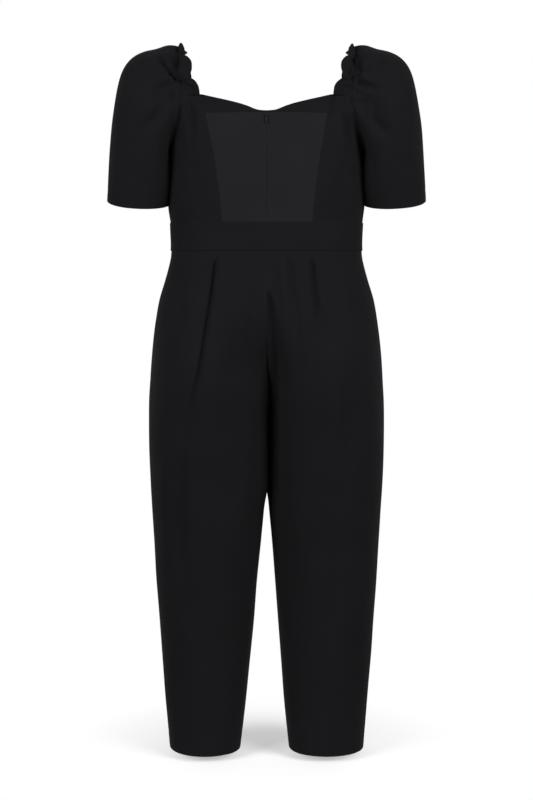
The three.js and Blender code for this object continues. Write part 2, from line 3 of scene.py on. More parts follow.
import logging
import math
from dataclasses import dataclass
from enum import Enum
from typing import Callable

import bpy
import numpy as np
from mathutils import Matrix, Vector


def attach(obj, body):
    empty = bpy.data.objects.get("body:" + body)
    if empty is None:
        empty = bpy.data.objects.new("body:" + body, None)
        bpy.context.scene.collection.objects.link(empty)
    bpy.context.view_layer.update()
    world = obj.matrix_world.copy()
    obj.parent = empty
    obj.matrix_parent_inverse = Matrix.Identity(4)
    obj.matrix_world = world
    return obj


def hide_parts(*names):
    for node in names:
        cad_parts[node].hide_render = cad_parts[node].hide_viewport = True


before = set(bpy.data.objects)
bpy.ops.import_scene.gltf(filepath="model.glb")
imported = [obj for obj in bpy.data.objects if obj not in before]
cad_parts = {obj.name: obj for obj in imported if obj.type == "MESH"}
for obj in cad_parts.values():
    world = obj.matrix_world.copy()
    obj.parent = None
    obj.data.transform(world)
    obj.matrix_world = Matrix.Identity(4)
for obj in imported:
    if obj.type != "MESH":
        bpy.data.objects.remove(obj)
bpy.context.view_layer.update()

log = logging.getLogger("jumpsuit")

Array = np.ndarray
Form = Callable[[Array, Array], Array]
Socket = bpy.types.NodeSocket
Colour = tuple[float, float, float]
Place = tuple[float, float, float]

# Sizes of the cloth are in millimetres, as they are cut. Meshes are made in metres.
MM = 0.001

# Thickness of the cloths, and how far the waistband stands proud
CLOTH = 1.1
BAND_PROUD = 1.6
BAND_CLOTH = 2.2
TAPE_CLOTH = 0.9

# Seams: radius of their roll, its share where the cloth faces sideways, and their lap
SEAM_ROLL = 0.8
SIDE_ROLL_SHARE = 0.25
SEAM_LAP = 0.15

# Hems and lips: a hem's extra thickness, its stitches' groove, and the share of the cloth a lip rounds off
HEM_EXTRA = 0.9
HEM_GROOVE = 0.22
HEM_GROOVE_WIDE = 1.3
LIP_SHARE = 0.92

# The grid: lines close to an edge, trial steps for its lengths, and how much a tube's lines bunch
EDGE_LINES = (0.0, 0.3, 0.75, 1.3, 2.2, 3.6)
TRIAL_ROWS = 12
TRIAL_COLUMNS = 60
TUBE_BUNCH = 0.55
FAR_FROM_EDGE = 50.0

# Creases: steps of their line from point to point, and how many half widths they reach
FOLD_STEPS = 8
FOLD_REACH = 3.2

# A pleat across its line, in half widths: its steep side, how slowly its back falls and where it ends
PLEAT_STEEP = (-0.35, 0.15)
PLEAT_FALL = 2.4
PLEAT_END = (2.2, 3.2)

# The groove under a pleat's steep side
PLEAT_GROOVE = 0.9
PLEAT_GROOVE_WIDE = 0.42

# Creases of the back and front fade where the cloth turns to the side
FACING = (0.1, 0.55)

# Heights of the main seams, as drops below the shoulder tops
SHOULDER_FOOT = 92.0
BODICE_START = 120.0
INSET_TOP = 127.0
FRONT_NECK_DROP = 146.0
ARMHOLE_BOTTOM = 197.0
BAND_TOP = 326.0
BAND_BOTTOM = 377.5
POCKET_TOP = 468.0
POCKET_FOOT = 612.0
CROTCH = 662.0
KNEES_PART = 804.0
HEM = 1306.0

# The armhole: half its depth, how square its oval is, and how far out it starts at the shoulder top
ARMHOLE_DEEP = 62.0
ARMHOLE_SQUARE = 2.5
SHOULDER_OUT = 163.0

# Gathers push the back of the armhole out, and bridge the valley between sleeve and side back
GATHER_OUT = 6.0
GATHER_DROP = 46.0
GATHER_SPREAD = 28.0
BRIDGE_DEEP = 13.0
BRIDGE_OUT = 160.0
BRIDGE_WIDE = 17.0
BRIDGE_STARTS = (34.0, 74.0)
BRIDGE_ENDS = (112.0, 172.0)
BRIDGE_BEHIND = (20.0, 45.0)

# The zip's lips stand up on both sides of the opening: their distance from it and half their width
ZIP_LIP_OUT = 4.5
ZIP_LIP_WIDE = 3.0
ZIP_LIP_RISE = 0.9


class Side(Enum):
    """Left or right as seen in the photograph, and its sign along X."""

    LEFT = -1
    RIGHT = 1

    @property
    def word(self) -> str:
        """The word used in names."""
        return self.name.lower()


class Face(Enum):
    """The back or the front of the garment, and its sign along Y."""

    BACK = -1
    FRONT = 1

    @property
    def word(self) -> str:
        """The word used in names."""
        return self.name.lower()


class Edge(Enum):
    """How an edge of a cut piece is finished."""

    SEAM = "turned in and sewn to its neighbour"
    LIP = "a bare folded edge"
    HEM = "a folded edge over a turned-up hem"
    GATHER = "gathered into its neighbour"
    HIDDEN = "left as it is, out of sight"


class Slot(Enum):
    """Names of material slots."""

    CREPE = "crepe"
    INSET = "inset_cloth"
    TAPE = "zip_tape"


class Held(Enum):
    """How a sheet of cloth is held."""

    HUNG = "hung"
    GATHERED = "gathered"
    STRETCHED = "stretched"


@dataclass(frozen=True)
class SizeTable:
    """Rows of sizes in millimetres, read by their first column through a smooth curve."""

    columns: tuple[str, ...]
    rows: tuple[tuple[float, ...], ...]

    def read(self, column: str, at: Array) -> Array:
        """Reads one column.

        Args:
            column: The column's name.
            at: Places along the first column.

        Returns:
            The column's values at those places.
        """
        keys = np.array([row[0] for row in self.rows], float)
        values = np.array([row[self.columns.index(column)] for row in self.rows], float)
        slopes = np.gradient(values)
        slopes[1:-1] = (values[2:] - values[:-2]) / (keys[2:] - keys[:-2])
        slopes[0] = (values[1] - values[0]) / (keys[1] - keys[0])
        slopes[-1] = (values[-1] - values[-2]) / (keys[-1] - keys[-2])
        at = np.clip(at, keys[0], keys[-1])
        i = np.clip(np.searchsorted(keys, at, side="right") - 1, 0, len(keys) - 2)
        gap = keys[i + 1] - keys[i]
        t = (at - keys[i]) / gap
        return (
            (2 * t**3 - 3 * t**2 + 1) * values[i]
            + (t**3 - 2 * t**2 + t) * gap * slopes[i]
            + (3 * t**2 - 2 * t**3) * values[i + 1]
            + (t**3 - t**2) * gap * slopes[i + 1]
        )


# Sections of the whole body: half the width, depth behind and in front, squareness of the oval
BODY = SizeTable(
    ("drop", "half", "back", "front", "square"),
    (
        (60, 176, 90, 96, 2.6),
        (92, 180, 97, 110, 2.6),
        (125, 182, 102, 122, 2.6),
        (188, 184, 108, 133, 2.6),
        (250, 184.5, 108, 131, 2.5),
        (290, 184.5, 106, 126, 2.45),
        (326, 180, 105, 119, 2.4),
        (350, 178.3, 106, 117, 2.35),
        (378, 178.6, 110, 117, 2.3),
        (395, 180.5, 115, 118, 2.3),
        (432, 190, 126, 123, 2.25),
        (470, 201, 136, 127, 2.2),
        (508, 207.7, 143, 130, 2.2),
        (545, 212.5, 147, 131, 2.2),
        (583, 216, 149, 131, 2.2),
        (620, 218, 149, 130, 2.2),
        (662, 220, 147, 128, 2.2),
        (740, 220, 140, 120, 2.2),
        (820, 217.0, 130, 112, 2.2),
        (846, 215.4, 126, 108, 2.2),
        (921, 210.6, 118, 100, 2.2),
        (996, 206.2, 110, 95, 2.2),
        (1072, 200.5, 100, 90, 2.2),
        (1147, 194.8, 90, 85, 2.2),
        (1222, 188.8, 82, 80, 2.2),
        (1306, 181.8, 77, 76, 2.2),
    ),
)

# Sections of one leg: inner edge of the left and the right leg, depth behind and in front
LEG = SizeTable(
    ("drop", "left", "right", "back", "front"),
    (
        (430, 0.7, 0.7, 128, 120),
        (545, 0.7, 0.7, 145, 124),
        (600, 0.7, 0.7, 143, 121),
        (662, 0.7, 0.7, 137, 117),
        (740, 0.7, 0.7, 128, 112),
        (812, 0.9, 0.9, 119, 107),
        (846, 3.2, 3.2, 116, 105),
        (921, 10.2, 10.2, 106, 99),
        (996, 17.8, 16.0, 98, 94),
        (1072, 23.6, 21.7, 91, 89),
        (1147, 31.2, 27.4, 85, 84),
        (1222, 38.7, 33, 80, 80),
        (1306, 48.7, 41.7, 76.5, 76),
    ),
)

# The sleeve from the armhole to its hem: upper and lower ends of each ring, and half its depth
SLEEVE = SizeTable(
    ("at", "up_out", "up_drop", "low_out", "low_drop", "deep"),
    (
        (0, 165.5, 0, 188, 198, 62),
        (1, 186, -3.5, 187, 204, 70),
        (2, 208, 0, 184, 212, 76),
        (3, 230, 4.5, 181, 221, 80),
        (4, 249, 14, 179, 231, 83),
        (5, 264, 30, 177.5, 241, 85),
        (6, 274, 52, 176.5, 250, 86),
        (7, 282.5, 88, 176, 259, 85),
        (8, 289.5, 133, 176, 268, 82),
        (9, 293.5, 181, 176.5, 276, 77),
        (10, 297, 232, 177.5, 283, 71),
        (11, 299.5, 282, 179, 289, 66),
    ),
)

# Back neckline, the inset's outer edges and the ruffle's free edge
NECKLINE = SizeTable(
    ("out", "drop"),
    ((0, 123.4), (18, 121.6), (38, 114), (55, 108.6), (98, 97.7), (119, 92)),
)
INSET_EDGE = SizeTable(
    ("drop", "left", "right"),
    (
        (92, 122, 120), (127, 112.5, 110.7), (166, 103.5, 104.2), (202, 96.2, 98),
        (238, 90.8, 92.6), (292, 83.5, 86.5), (326, 81.7, 83.5),
    ),
)
RUFFLE_EDGE = SizeTable(
    ("drop", "out"),
    (
        (0, 154), (5, 152), (8, 149.5), (11.8, 146), (14, 148),
        (17, 151), (21, 145), (25, 141), (30, 138), (36, 136.6),
        (45, 136.8), (53, 138.6), (59, 139.8), (63, 138), (67, 132.4),
        (72, 127.6), (77, 124.6), (84, 123), (98, 121.5),
    ),
)


def mix(a: Array, b: Array, t: Array) -> Array:
    """Goes from a to b as t goes from 0 to 1."""
    return a + (b - a) * t


def smooth(low: float, high: float, x: Array) -> Array:
    """Rises smoothly from 0 at low to 1 at high."""
    t = np.clip((x - low) / (high - low), 0.0, 1.0)
    return t * t * (3 - 2 * t)


def bump(x: Array, middle: float, wide: float) -> Array:
    """A soft hump of height 1 at its middle."""
    return np.exp(-(((x - middle) / wide) ** 2))


def body_point(side: Array, face: int, turn: Array, drop: Array) -> Array:
    """A point of the body oval.

    Args:
        side: Sign along X.
        face: Sign along Y.
        turn: 0 at the centre of the back or front, a right angle at the side.
        drop: Distance below the shoulder tops.

    Returns:
        Points with a last axis of three coordinates.
    """
    power = 2 / BODY.read("square", drop)
    deep = BODY.read("back" if face < 0 else "front", drop)
    x = side * BODY.read("half", drop) * np.maximum(np.sin(turn), 0) ** power
    y = face * deep * np.maximum(np.cos(turn), 0) ** power
    return np.stack(np.broadcast_arrays(x, y, -drop), axis=-1)


def turn_at(out: Array, drop: Array) -> Array:
    """The turn at which the body oval is a distance out from the centre."""
    share = np.clip(out / BODY.read("half", drop), 0, 1)
    return np.arcsin(share ** (BODY.read("square", drop) / 2))


def armhole_deep(drop: Array) -> Array:
    """How deep the armhole is at a height, from the shoulder line to its edge.

    Args:
        drop: Distance below the shoulder tops.

    Returns:
        The depth, 0 below the armhole.
    """
    middle = ARMHOLE_BOTTOM / 2
    away = np.abs(drop - middle) / middle
    return ARMHOLE_DEEP * np.maximum(0, 1 - away**ARMHOLE_SQUARE) ** (1 / ARMHOLE_SQUARE)


def armhole_turn(face: int, drop: Array) -> Array:
    """The turn at which a panel ends at the armhole, or at the side seam below it.

    Args:
        face: Sign along Y.
        drop: Distance below the shoulder tops.

    Returns:
        The turn, a right angle at the side seam.
    """
    deep = BODY.read("back" if face < 0 else "front", drop)
    share = np.clip(armhole_deep(drop) / deep, 0, 1)
    turn = np.arccos(share ** (BODY.read("square", drop) / 2))
    return np.where(drop >= ARMHOLE_BOTTOM, np.pi / 2, turn)


def armhole_out(face: int, drop: Array) -> Array:
    """How far out from the centre the armhole's edge lies at a height.

    Args:
        face: Sign along Y.
        drop: Distance below the shoulder tops.

    Returns:
        The distance from the centre.
    """
    edge = body_point(1, face, armhole_turn(face, drop), drop)[..., 0]
    at_foot = np.array(SHOULDER_FOOT)
    foot = float(body_point(1, face, armhole_turn(face, at_foot), at_foot)[..., 0])
    above = mix(SHOULDER_OUT, foot, smooth(0, SHOULDER_FOOT, drop))
    if face < 0:
        above = above + GATHER_OUT * bump(drop, GATHER_DROP, GATHER_SPREAD)
    return np.where(drop >= SHOULDER_FOOT, edge, above)


def bridged(points: Array) -> Array:
    """Fills the valley behind the upper armhole, where the gathers run from sleeve to back.

    Args:
        points: Points of the cloth.

    Returns:
        The points, moved out over the valley.
    """
    out, drop = np.abs(points[..., 0]), -points[..., 2]
    window = smooth(*BRIDGE_STARTS, drop) * (1 - smooth(*BRIDGE_ENDS, drop))
    behind = smooth(*BRIDGE_BEHIND, -points[..., 1])
    fill = BRIDGE_DEEP * bump(out, BRIDGE_OUT, BRIDGE_WIDE) * window * behind
    return points - np.stack([np.zeros_like(fill), fill, np.zeros_like(fill)], axis=-1)


def bodice_out(face: int, y: Array, drop: Array) -> Array:
    """How far out the bodice reaches beside a point of a sleeve.

    Args:
        face: Sign along Y.
        y: Distance from the shoulder line.
        drop: Distance below the shoulder tops.

    Returns:
        The distance from the centre, 0 where the bodice has its neck opening.
    """
    square = BODY.read("square", drop)
    deep = BODY.read("back" if face < 0 else "front", drop)
    share = np.minimum(1, np.abs(y) / deep)
    reach = BODY.read("half", drop) * (1 - share**square) ** (1 / square)
    return np.where(drop < BODICE_START, 0, reach)


def square_oval(turn: Array, square: Array) -> tuple[Array, Array]:
    """A point of a squarish oval of size 1.

    Args:
        turn: Turn from the oval's top.
        square: 2 for a round oval, more for a squarer one.

    Returns:
        Its coordinates, up and to the side.
    """
    up = np.sign(np.cos(turn)) * np.abs(np.cos(turn)) ** (2 / square)
    side = np.sign(np.sin(turn)) * np.abs(np.sin(turn)) ** (2 / square)
    return up, side


class FoldShape(Enum):
    """The shape of a crease across its line."""

    SOFT = "rounded on both sides"
    PLEAT = "a laid-over fold, steep on one side"


@dataclass(frozen=True)
class Fold:
    """A crease of the cloth, drawn on the back or front as seen from there.

    Attributes:
        path: Points of its line, each signed X and drop.
        deep: How far it stands out, or in where it is negative.
        wide: Its half width at the start of its line.
        spread: Its width at the end of its line, as a share of that at the start.
        shape: The shape across its line.
        lean: From -1 to 1, the side towards which it is wider, or the raised side of a pleat.
        fade_in: Share of the line over which it starts.
        fade_out: Share of the line over which it ends.
    """

    path: tuple[tuple[float, float], ...]
    deep: float
    wide: float
    spread: float = 1.5
    shape: FoldShape = FoldShape.SOFT
    lean: float = 0.0
    fade_in: float = 0.2
    fade_out: float = 0.45

    def line(self) -> Array:
        """The points of a smooth curve through the path.

        Returns:
            One row of signed X and drop a point.
        """
        knots = np.array(self.path, float)
        knots = np.vstack([2 * knots[0] - knots[1], knots, 2 * knots[-1] - knots[-2]])
        pieces = []
        t = np.linspace(0, 1, FOLD_STEPS, endpoint=False)[:, None]
        for a, b, c, d in zip(knots, knots[1:], knots[2:], knots[3:]):
            curve = 2 * b + (c - a) * t + (2 * a - 5 * b + 4 * c - d) * t**2 + (3 * b - a - 3 * c + d) * t**3
            pieces.append(0.5 * curve)
        pieces.append(knots[-2][None])
        return np.vstack(pieces)

    def rise(self, across: Array, drop: Array) -> Array:
        """How far the cloth stands out for this crease.

        Args:
            across: Signed X of the points.
            drop: Drops of the points.

        Returns:
            The rise of each point.
        """
        line = self.line()
        reach = FOLD_REACH * self.wide * max(1.0, self.spread)
        near = (
            (across > line[:, 0].min() - reach)
            & (across < line[:, 0].max() + reach)
            & (drop > line[:, 1].min() - reach)
            & (drop < line[:, 1].max() + reach)
        )
        rise = np.zeros_like(across)
        if not near.any():
            return rise
        points = np.stack([across[near], drop[near]], axis=-1)
        best = np.full(len(points), np.inf)
        along = np.zeros(len(points))
        beside = np.zeros(len(points))
        for k in range(len(line) - 1):
            step = line[k + 1] - line[k]
            length = max(float(np.hypot(*step)), 1e-6)
            away = points - line[k]
            t = np.clip(away @ step / length**2, 0, 1)
            off = away - t[:, None] * step
            distance = np.hypot(off[:, 0], off[:, 1])
            closer = distance < best
            side = np.sign(off[:, 0] * step[1] - off[:, 1] * step[0])
            best = np.where(closer, distance, best)
            along = np.where(closer, (k + t) / (len(line) - 1), along)
            beside = np.where(closer, side * distance, beside)
        wide = self.wide * mix(1.0, self.spread, along)
        fade = smooth(0, self.fade_in, along + 1e-3) * (1 - smooth(1 - self.fade_out, 1, along))
        rise[near] = self.deep * self.across_shape(beside / wide) * fade
        return rise

    def across_shape(self, s: Array) -> Array:
        """The crease's height across its line, as a share of its depth.

        Args:
            s: Signed distances from the line, in half widths.

        Returns:
            The height of each point.
        """
        if self.shape is FoldShape.SOFT:
            return np.exp(-((s / np.where(s > 0, 1 + 0.5 * self.lean, 1 - 0.5 * self.lean)) ** 2))
        s = s * np.sign(self.lean)
        laid = smooth(*PLEAT_STEEP, s) * np.exp(-np.maximum(s, 0) / PLEAT_FALL) * (1 - smooth(*PLEAT_END, s))
        return laid - PLEAT_GROOVE * bump(s, PLEAT_STEEP[0], PLEAT_GROOVE_WIDE)


def creased(folds: tuple[Fold, ...], points: Array) -> Array:
    """How far the cloth stands out at points, for all of some folds.

    Args:
        folds: The folds.
        points: Points of the cloth.

    Returns:
        The rise of each point.
    """
    rise = np.zeros(points.shape[:-1])
    for fold in folds:
        rise += fold.rise(points[..., 0], -points[..., 2])
    return rise


def unevenness(points: Array, strength: float) -> Array:
    """The slow unevenness of cloth that hangs.

    Args:
        points: Points of the cloth.
        strength: Its height.

    Returns:
        The rise of each point.
    """
    x, y, z = points[..., 0], points[..., 1], points[..., 2]
    waves = (
        np.sin(x / 23 + 0.013 * z + 1.3) * np.sin(z / 61 + 0.7)
        + 0.7 * np.sin(x / 14.5 - z / 47 + y / 31 + 2.1)
        + 0.6 * np.sin(x / 37 + z / 29 - y / 26 + 4.0)
        + 0.4 * np.sin(z / 17.5 + y / 12 + x / 53)
    )
    return strength * waves


def zip_lip(points: Array) -> Array:
    """The rise of the zip's lip beside the centre back."""
    return ZIP_LIP_RISE * bump(np.abs(points[..., 0]), ZIP_LIP_OUT, ZIP_LIP_WIDE)


@dataclass(frozen=True)
class Cut:
    """The flat size of a piece before it is sewn, in metres and square metres."""

    width: float
    length: float
    area: float


@dataclass
class ClothSheet:
    """One cut piece as a fine grid over its form, with its edges finished and a second skin behind.

    Attributes:
        node: Name of the solid that it stands for.
        form: Gives points for shares across and down.
        columns: Number of even steps across.
        rows: Number of even steps down.
        outward: Sign that turns the form's normals out.
        cut: Its flat size.
        slot: Its material slot, not used.
        held: How it is held, not used.
        rests_on: Names of what it hangs from, not used.
        relief: Gives the rise at points, for shares across and down.
        folds: Its creases.
        calm: Shares near the first, last, top and lower edge over which creases die out.
        lap: How far its sewn edges reach past their seam.
        first: Finish of the edge at share 0 across.
        last: Finish of the edge at share 1 across.
        top: Finish of the upper edge.
        foot: Finish of the lower edge.
        thick: Thickness of the cloth.
        lift: How far its outer skin lies outside the form.
        hem_deep: Depth of a turned-up hem.
        around: True for a tube.
        fine_at: Share across at which a tube's grid is finest.
    """

    node: str
    form: Form
    columns: int
    rows: int
    outward: int
    cut: Cut
    slot: Slot = Slot.CREPE
    held: Held = Held.HUNG
    rests_on: tuple[str, ...] = ()
    relief: Callable[[Array, Array, Array], Array] | None = None
    folds: tuple[Fold, ...] = ()
    calm: tuple[float, float, float, float] = (0.04, 0.04, 0.04, 0.04)
    lap: float = SEAM_LAP
    first: Edge = Edge.SEAM
    last: Edge = Edge.SEAM
    top: Edge = Edge.SEAM
    foot: Edge = Edge.SEAM
    thick: float = CLOTH
    lift: float = 0.0
    hem_deep: float = 25.0
    around: bool = False
    fine_at: float = 0.8

    @property
    def name(self) -> str:
        """The piece's name."""
        return f"{self.node}_cloth"

    def build(self, finish: bpy.types.Material) -> None:
        """Args:
            finish: The material of the cloth.
        """
        u, v = self.shares()
        points = self.form(u, v)
        normals = self.normals(points)
        facing = smooth(*FACING, np.abs(normals[..., 1]))
        rise = creased(self.folds, points) * facing * self.edge_fade(u, v)
        if self.relief:
            rise = rise + self.relief(points, u, v)
        points = points + normals * rise[..., None]
        normals = self.normals(points)
        points = self.lapped(points)
        across, down = self.lengths(points)
        outer, inner = self.skins(points, normals, across, down)
        piece = self.mesh(outer, inner, across, down)
        piece.data.materials.append(finish)
        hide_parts(self.node)
        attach(piece, "garment")
        worn = sum(face.area for face in piece.data.polygons) / 2
        log.info("%s: %.4f square metres worn, %.4f cut", self.name, worn, self.cut.area)

    def shares(self) -> tuple[Array, Array]:
        """Shares across and down for the grid, even along the cloth and close together by its edges.

        Returns:
            The shares across and the shares down of every point.
        """
        u, v = np.meshgrid(np.linspace(0, 1, TRIAL_COLUMNS), np.linspace(0, 1, TRIAL_ROWS))
        rough = self.form(u, v)
        tall, wide = (np.linalg.norm(np.diff(rough, axis=k), axis=-1).sum(axis=k).mean() for k in (0, 1))
        down = edge_spaced(self.rows, tall)
        if self.around:
            u = np.arange(self.columns) / self.columns
            far = self.fine_at + 0.5
            u = u + TUBE_BUNCH / (2 * np.pi) * (np.sin(2 * np.pi * (u - far)) + np.sin(2 * np.pi * far))
            return np.meshgrid(u, down)
        targets = edge_spaced(self.columns, wide)
        fine = np.linspace(0, 1, 4 * self.columns + 1)
        u, v = np.meshgrid(fine, down)
        steps = np.linalg.norm(np.diff(self.form(u, v), axis=1), axis=-1)
        length = np.concatenate([np.zeros((len(down), 1)), np.cumsum(steps, axis=1)], axis=1)
        share = length / length[:, -1:]
        even = np.stack([np.interp(targets, row, fine) for row in share])
        return even, np.repeat(down[:, None], len(targets), axis=1)

    def normals(self, points: Array) -> Array:
        """Outward normals of the grid.

        Args:
            points: The grid's points.

        Returns:
            One normal a point, of length 1.
        """
        if self.around:
            across = np.roll(points, -1, axis=1) - np.roll(points, 1, axis=1)
        else:
            across = np.gradient(points, axis=1)
        normals = np.cross(across, np.gradient(points, axis=0)) * self.outward
        return normals / np.maximum(np.linalg.norm(normals, axis=-1, keepdims=True), 1e-9)

    def edge_fade(self, u: Array, v: Array) -> Array:
        """How strongly creases show, less towards the edges.

        Args:
            u: Shares across.
            v: Shares down.

        Returns:
            A strength from 0 to 1.
        """
        first, last, top, foot = self.calm
        across = 1.0 if self.around else smooth(0, first, u) * smooth(0, last, 1 - u)
        return across * smooth(0, top, v) * smooth(0, foot, 1 - v)

    def lapped(self, points: Array) -> Array:
        """Moves sewn edges a little past their seam, so that no light shows between two pieces.

        Args:
            points: The grid's points.

        Returns:
            The points, with sewn edges moved.
        """
        points = points.copy()
        sides = [(self.top, points[0], points[1]), (self.foot, points[-1], points[-2])]
        if not self.around:
            sides.append((self.first, points[:, 0], points[:, 1]))
            sides.append((self.last, points[:, -1], points[:, -2]))
        for edge, line, beside in sides:
            if edge in (Edge.SEAM, Edge.GATHER):
                way = line - beside
                line += self.lap * way / np.maximum(np.linalg.norm(way, axis=-1, keepdims=True), 1e-9)
        return points

    def lengths(self, points: Array) -> tuple[Array, Array]:
        """Distances along the cloth.

        Args:
            points: The grid's points.

        Returns:
            Distances across from the first edge, and down from the top.
        """
        across = np.zeros(points.shape[:2])
        across[:, 1:] = np.cumsum(np.linalg.norm(np.diff(points, axis=1), axis=-1), axis=1)
        down = np.zeros(points.shape[:2])
        down[1:] = np.cumsum(np.linalg.norm(np.diff(points, axis=0), axis=-1), axis=0)
        return across, down

    def edge_distances(self, across: Array, down: Array) -> dict[Edge, Array]:
        """Distance of each point from the nearest edge of each finish.

        Args:
            across: Distances from the first edge.
            down: Distances from the top.

        Returns:
            The distances for each finish, very large where no edge has it.
        """
        near = {kind: np.full(across.shape, 1e3) for kind in Edge}
        sides = [(self.top, down), (self.foot, down[-1:] - down)]
        if not self.around:
            sides += [(self.first, across), (self.last, across[:, -1:] - across)]
        for kind, distance in sides:
            near[kind] = np.minimum(near[kind], distance)
        return near

    def skins(self, points: Array, normals: Array, across: Array, down: Array) -> tuple[Array, Array]:
        """The outer and inner skins of the cloth, with rolled seams and round lips.

        Args:
            points: The grid's points.
            normals: Its normals.
            across: Distances from the first edge.
            down: Distances from the top.

        Returns:
            The points of the outer skin and of the inner one.
        """
        near = self.edge_distances(across, down)
        folded = np.minimum(near[Edge.LIP], near[Edge.HEM])
        turned = 1 - smooth(self.hem_deep - 1, self.hem_deep + 1, near[Edge.HEM])
        thick = self.thick * (1 + HEM_EXTRA * turned)
        roll = quarter_round(near[Edge.SEAM], SEAM_ROLL) * mix(SIDE_ROLL_SHARE, 1, np.abs(normals[..., 1]))
        half = thick / 2
        round_off = np.minimum(quarter_round(folded, half), LIP_SHARE * half)
        stitched = HEM_GROOVE * bump(near[Edge.HEM], self.hem_deep, HEM_GROOVE_WIDE)
        outer = points + normals * (self.lift - roll - round_off - stitched)[..., None]
        inner = points + normals * (self.lift - thick - roll + round_off)[..., None]
        return outer, inner

    def mesh(self, outer: Array, inner: Array, across: Array, down: Array) -> bpy.types.Object:
        """Joins the two skins into one closed mesh that carries its grain and seam distances.

        Args:
            outer: Points of the outer skin.
            inner: Points of the inner skin.
            across: Distances from the first edge.
            down: Distances from the top.

        Returns:
            The piece, with no material yet.
        """
        rows, columns = across.shape
        skin = rows * columns
        ids = np.arange(skin).reshape(rows, columns)
        if self.around:
            ids = np.concatenate([ids, ids[:, :1]], axis=1)
        a, b, c, d = ids[:-1, :-1], ids[:-1, 1:], ids[1:, 1:], ids[1:, :-1]
        quads = [np.stack([a, b, c, d], axis=-1).reshape(-1, 4)]
        quads.append(np.stack([a, d, c, b], axis=-1).reshape(-1, 4) + skin)
        rims = [ids[0, ::-1], ids[-1]]
        if not self.around:
            rims += [ids[:, 0], ids[::-1, -1]]
        for rim in rims:
            here, there = rim[:-1], rim[1:]
            quads.append(np.stack([here, there, there + skin, here + skin], axis=-1))
        faces = np.concatenate(quads)
        if self.outward < 0:
            faces = faces[:, ::-1]
        points = np.concatenate([outer.reshape(-1, 3), inner.reshape(-1, 3)]) * MM
        grain = np.stack([across, down], axis=-1).reshape(-1, 2) * MM
        near = self.edge_distances(across, down)
        seam = np.minimum(near[Edge.SEAM], FAR_FROM_EDGE).reshape(-1)
        piece = mesh_object(self.name, points, faces)
        write_points(piece.data, "from_seam", np.tile(seam, 2))
        uv = piece.data.uv_layers.new(name="grain")
        corners = np.tile(grain, (2, 1))[faces.reshape(-1)]
        uv.data.foreach_set("uv", corners.reshape(-1))
        return piece


def edge_spaced(count: int, length: float) -> Array:
    """Shares of a length, close together by both ends and even between.

    Args:
        count: Number of even steps.
        length: The length.

    Returns:
        The shares, from 0 to 1.
    """
    near = np.array(EDGE_LINES) / length
    between = np.linspace(near[-1], 1 - near[-1], count + 1)[1:-1]
    return np.concatenate([near, between, 1 - near[::-1]])


def quarter_round(distance: Array, radius: Array) -> Array:
    """How far a rounded edge drops away at a distance from it."""
    left = np.clip(radius - distance, 0, radius)
    return radius - np.sqrt(np.maximum(radius**2 - left**2, 0))


def mesh_object(name: str, points: Array, faces: Array) -> bpy.types.Object:
    """Makes an object from points in metres and four-cornered faces.

    Args:
        name: Name of the object.
        points: One row of three coordinates a point.
        faces: One row of four point numbers a face.

    Returns:
        The object, smooth and linked to the scene.
    """
    data = bpy.data.meshes.new(name)
    data.vertices.add(len(points))
    data.vertices.foreach_set("co", np.ascontiguousarray(points, np.float32).reshape(-1))
    data.loops.add(faces.size)
    data.loops.foreach_set("vertex_index", np.ascontiguousarray(faces, np.int32).reshape(-1))
    data.polygons.add(len(faces))
    data.polygons.foreach_set("loop_start", np.arange(0, faces.size, 4, dtype=np.int32))
    data.polygons.foreach_set("use_smooth", np.ones(len(faces), bool))
    data.update(calc_edges=True)
    data.validate()
    piece = bpy.data.objects.new(name, data)
    bpy.context.scene.collection.objects.link(piece)
    return piece


def write_points(data: bpy.types.Mesh, name: str, values: Array) -> None:
    """Keeps one number a point on a mesh, for its material."""
    layer = data.attributes.new(name, "FLOAT", "POINT")
    layer.data.foreach_set("value", values.astype(np.float32))


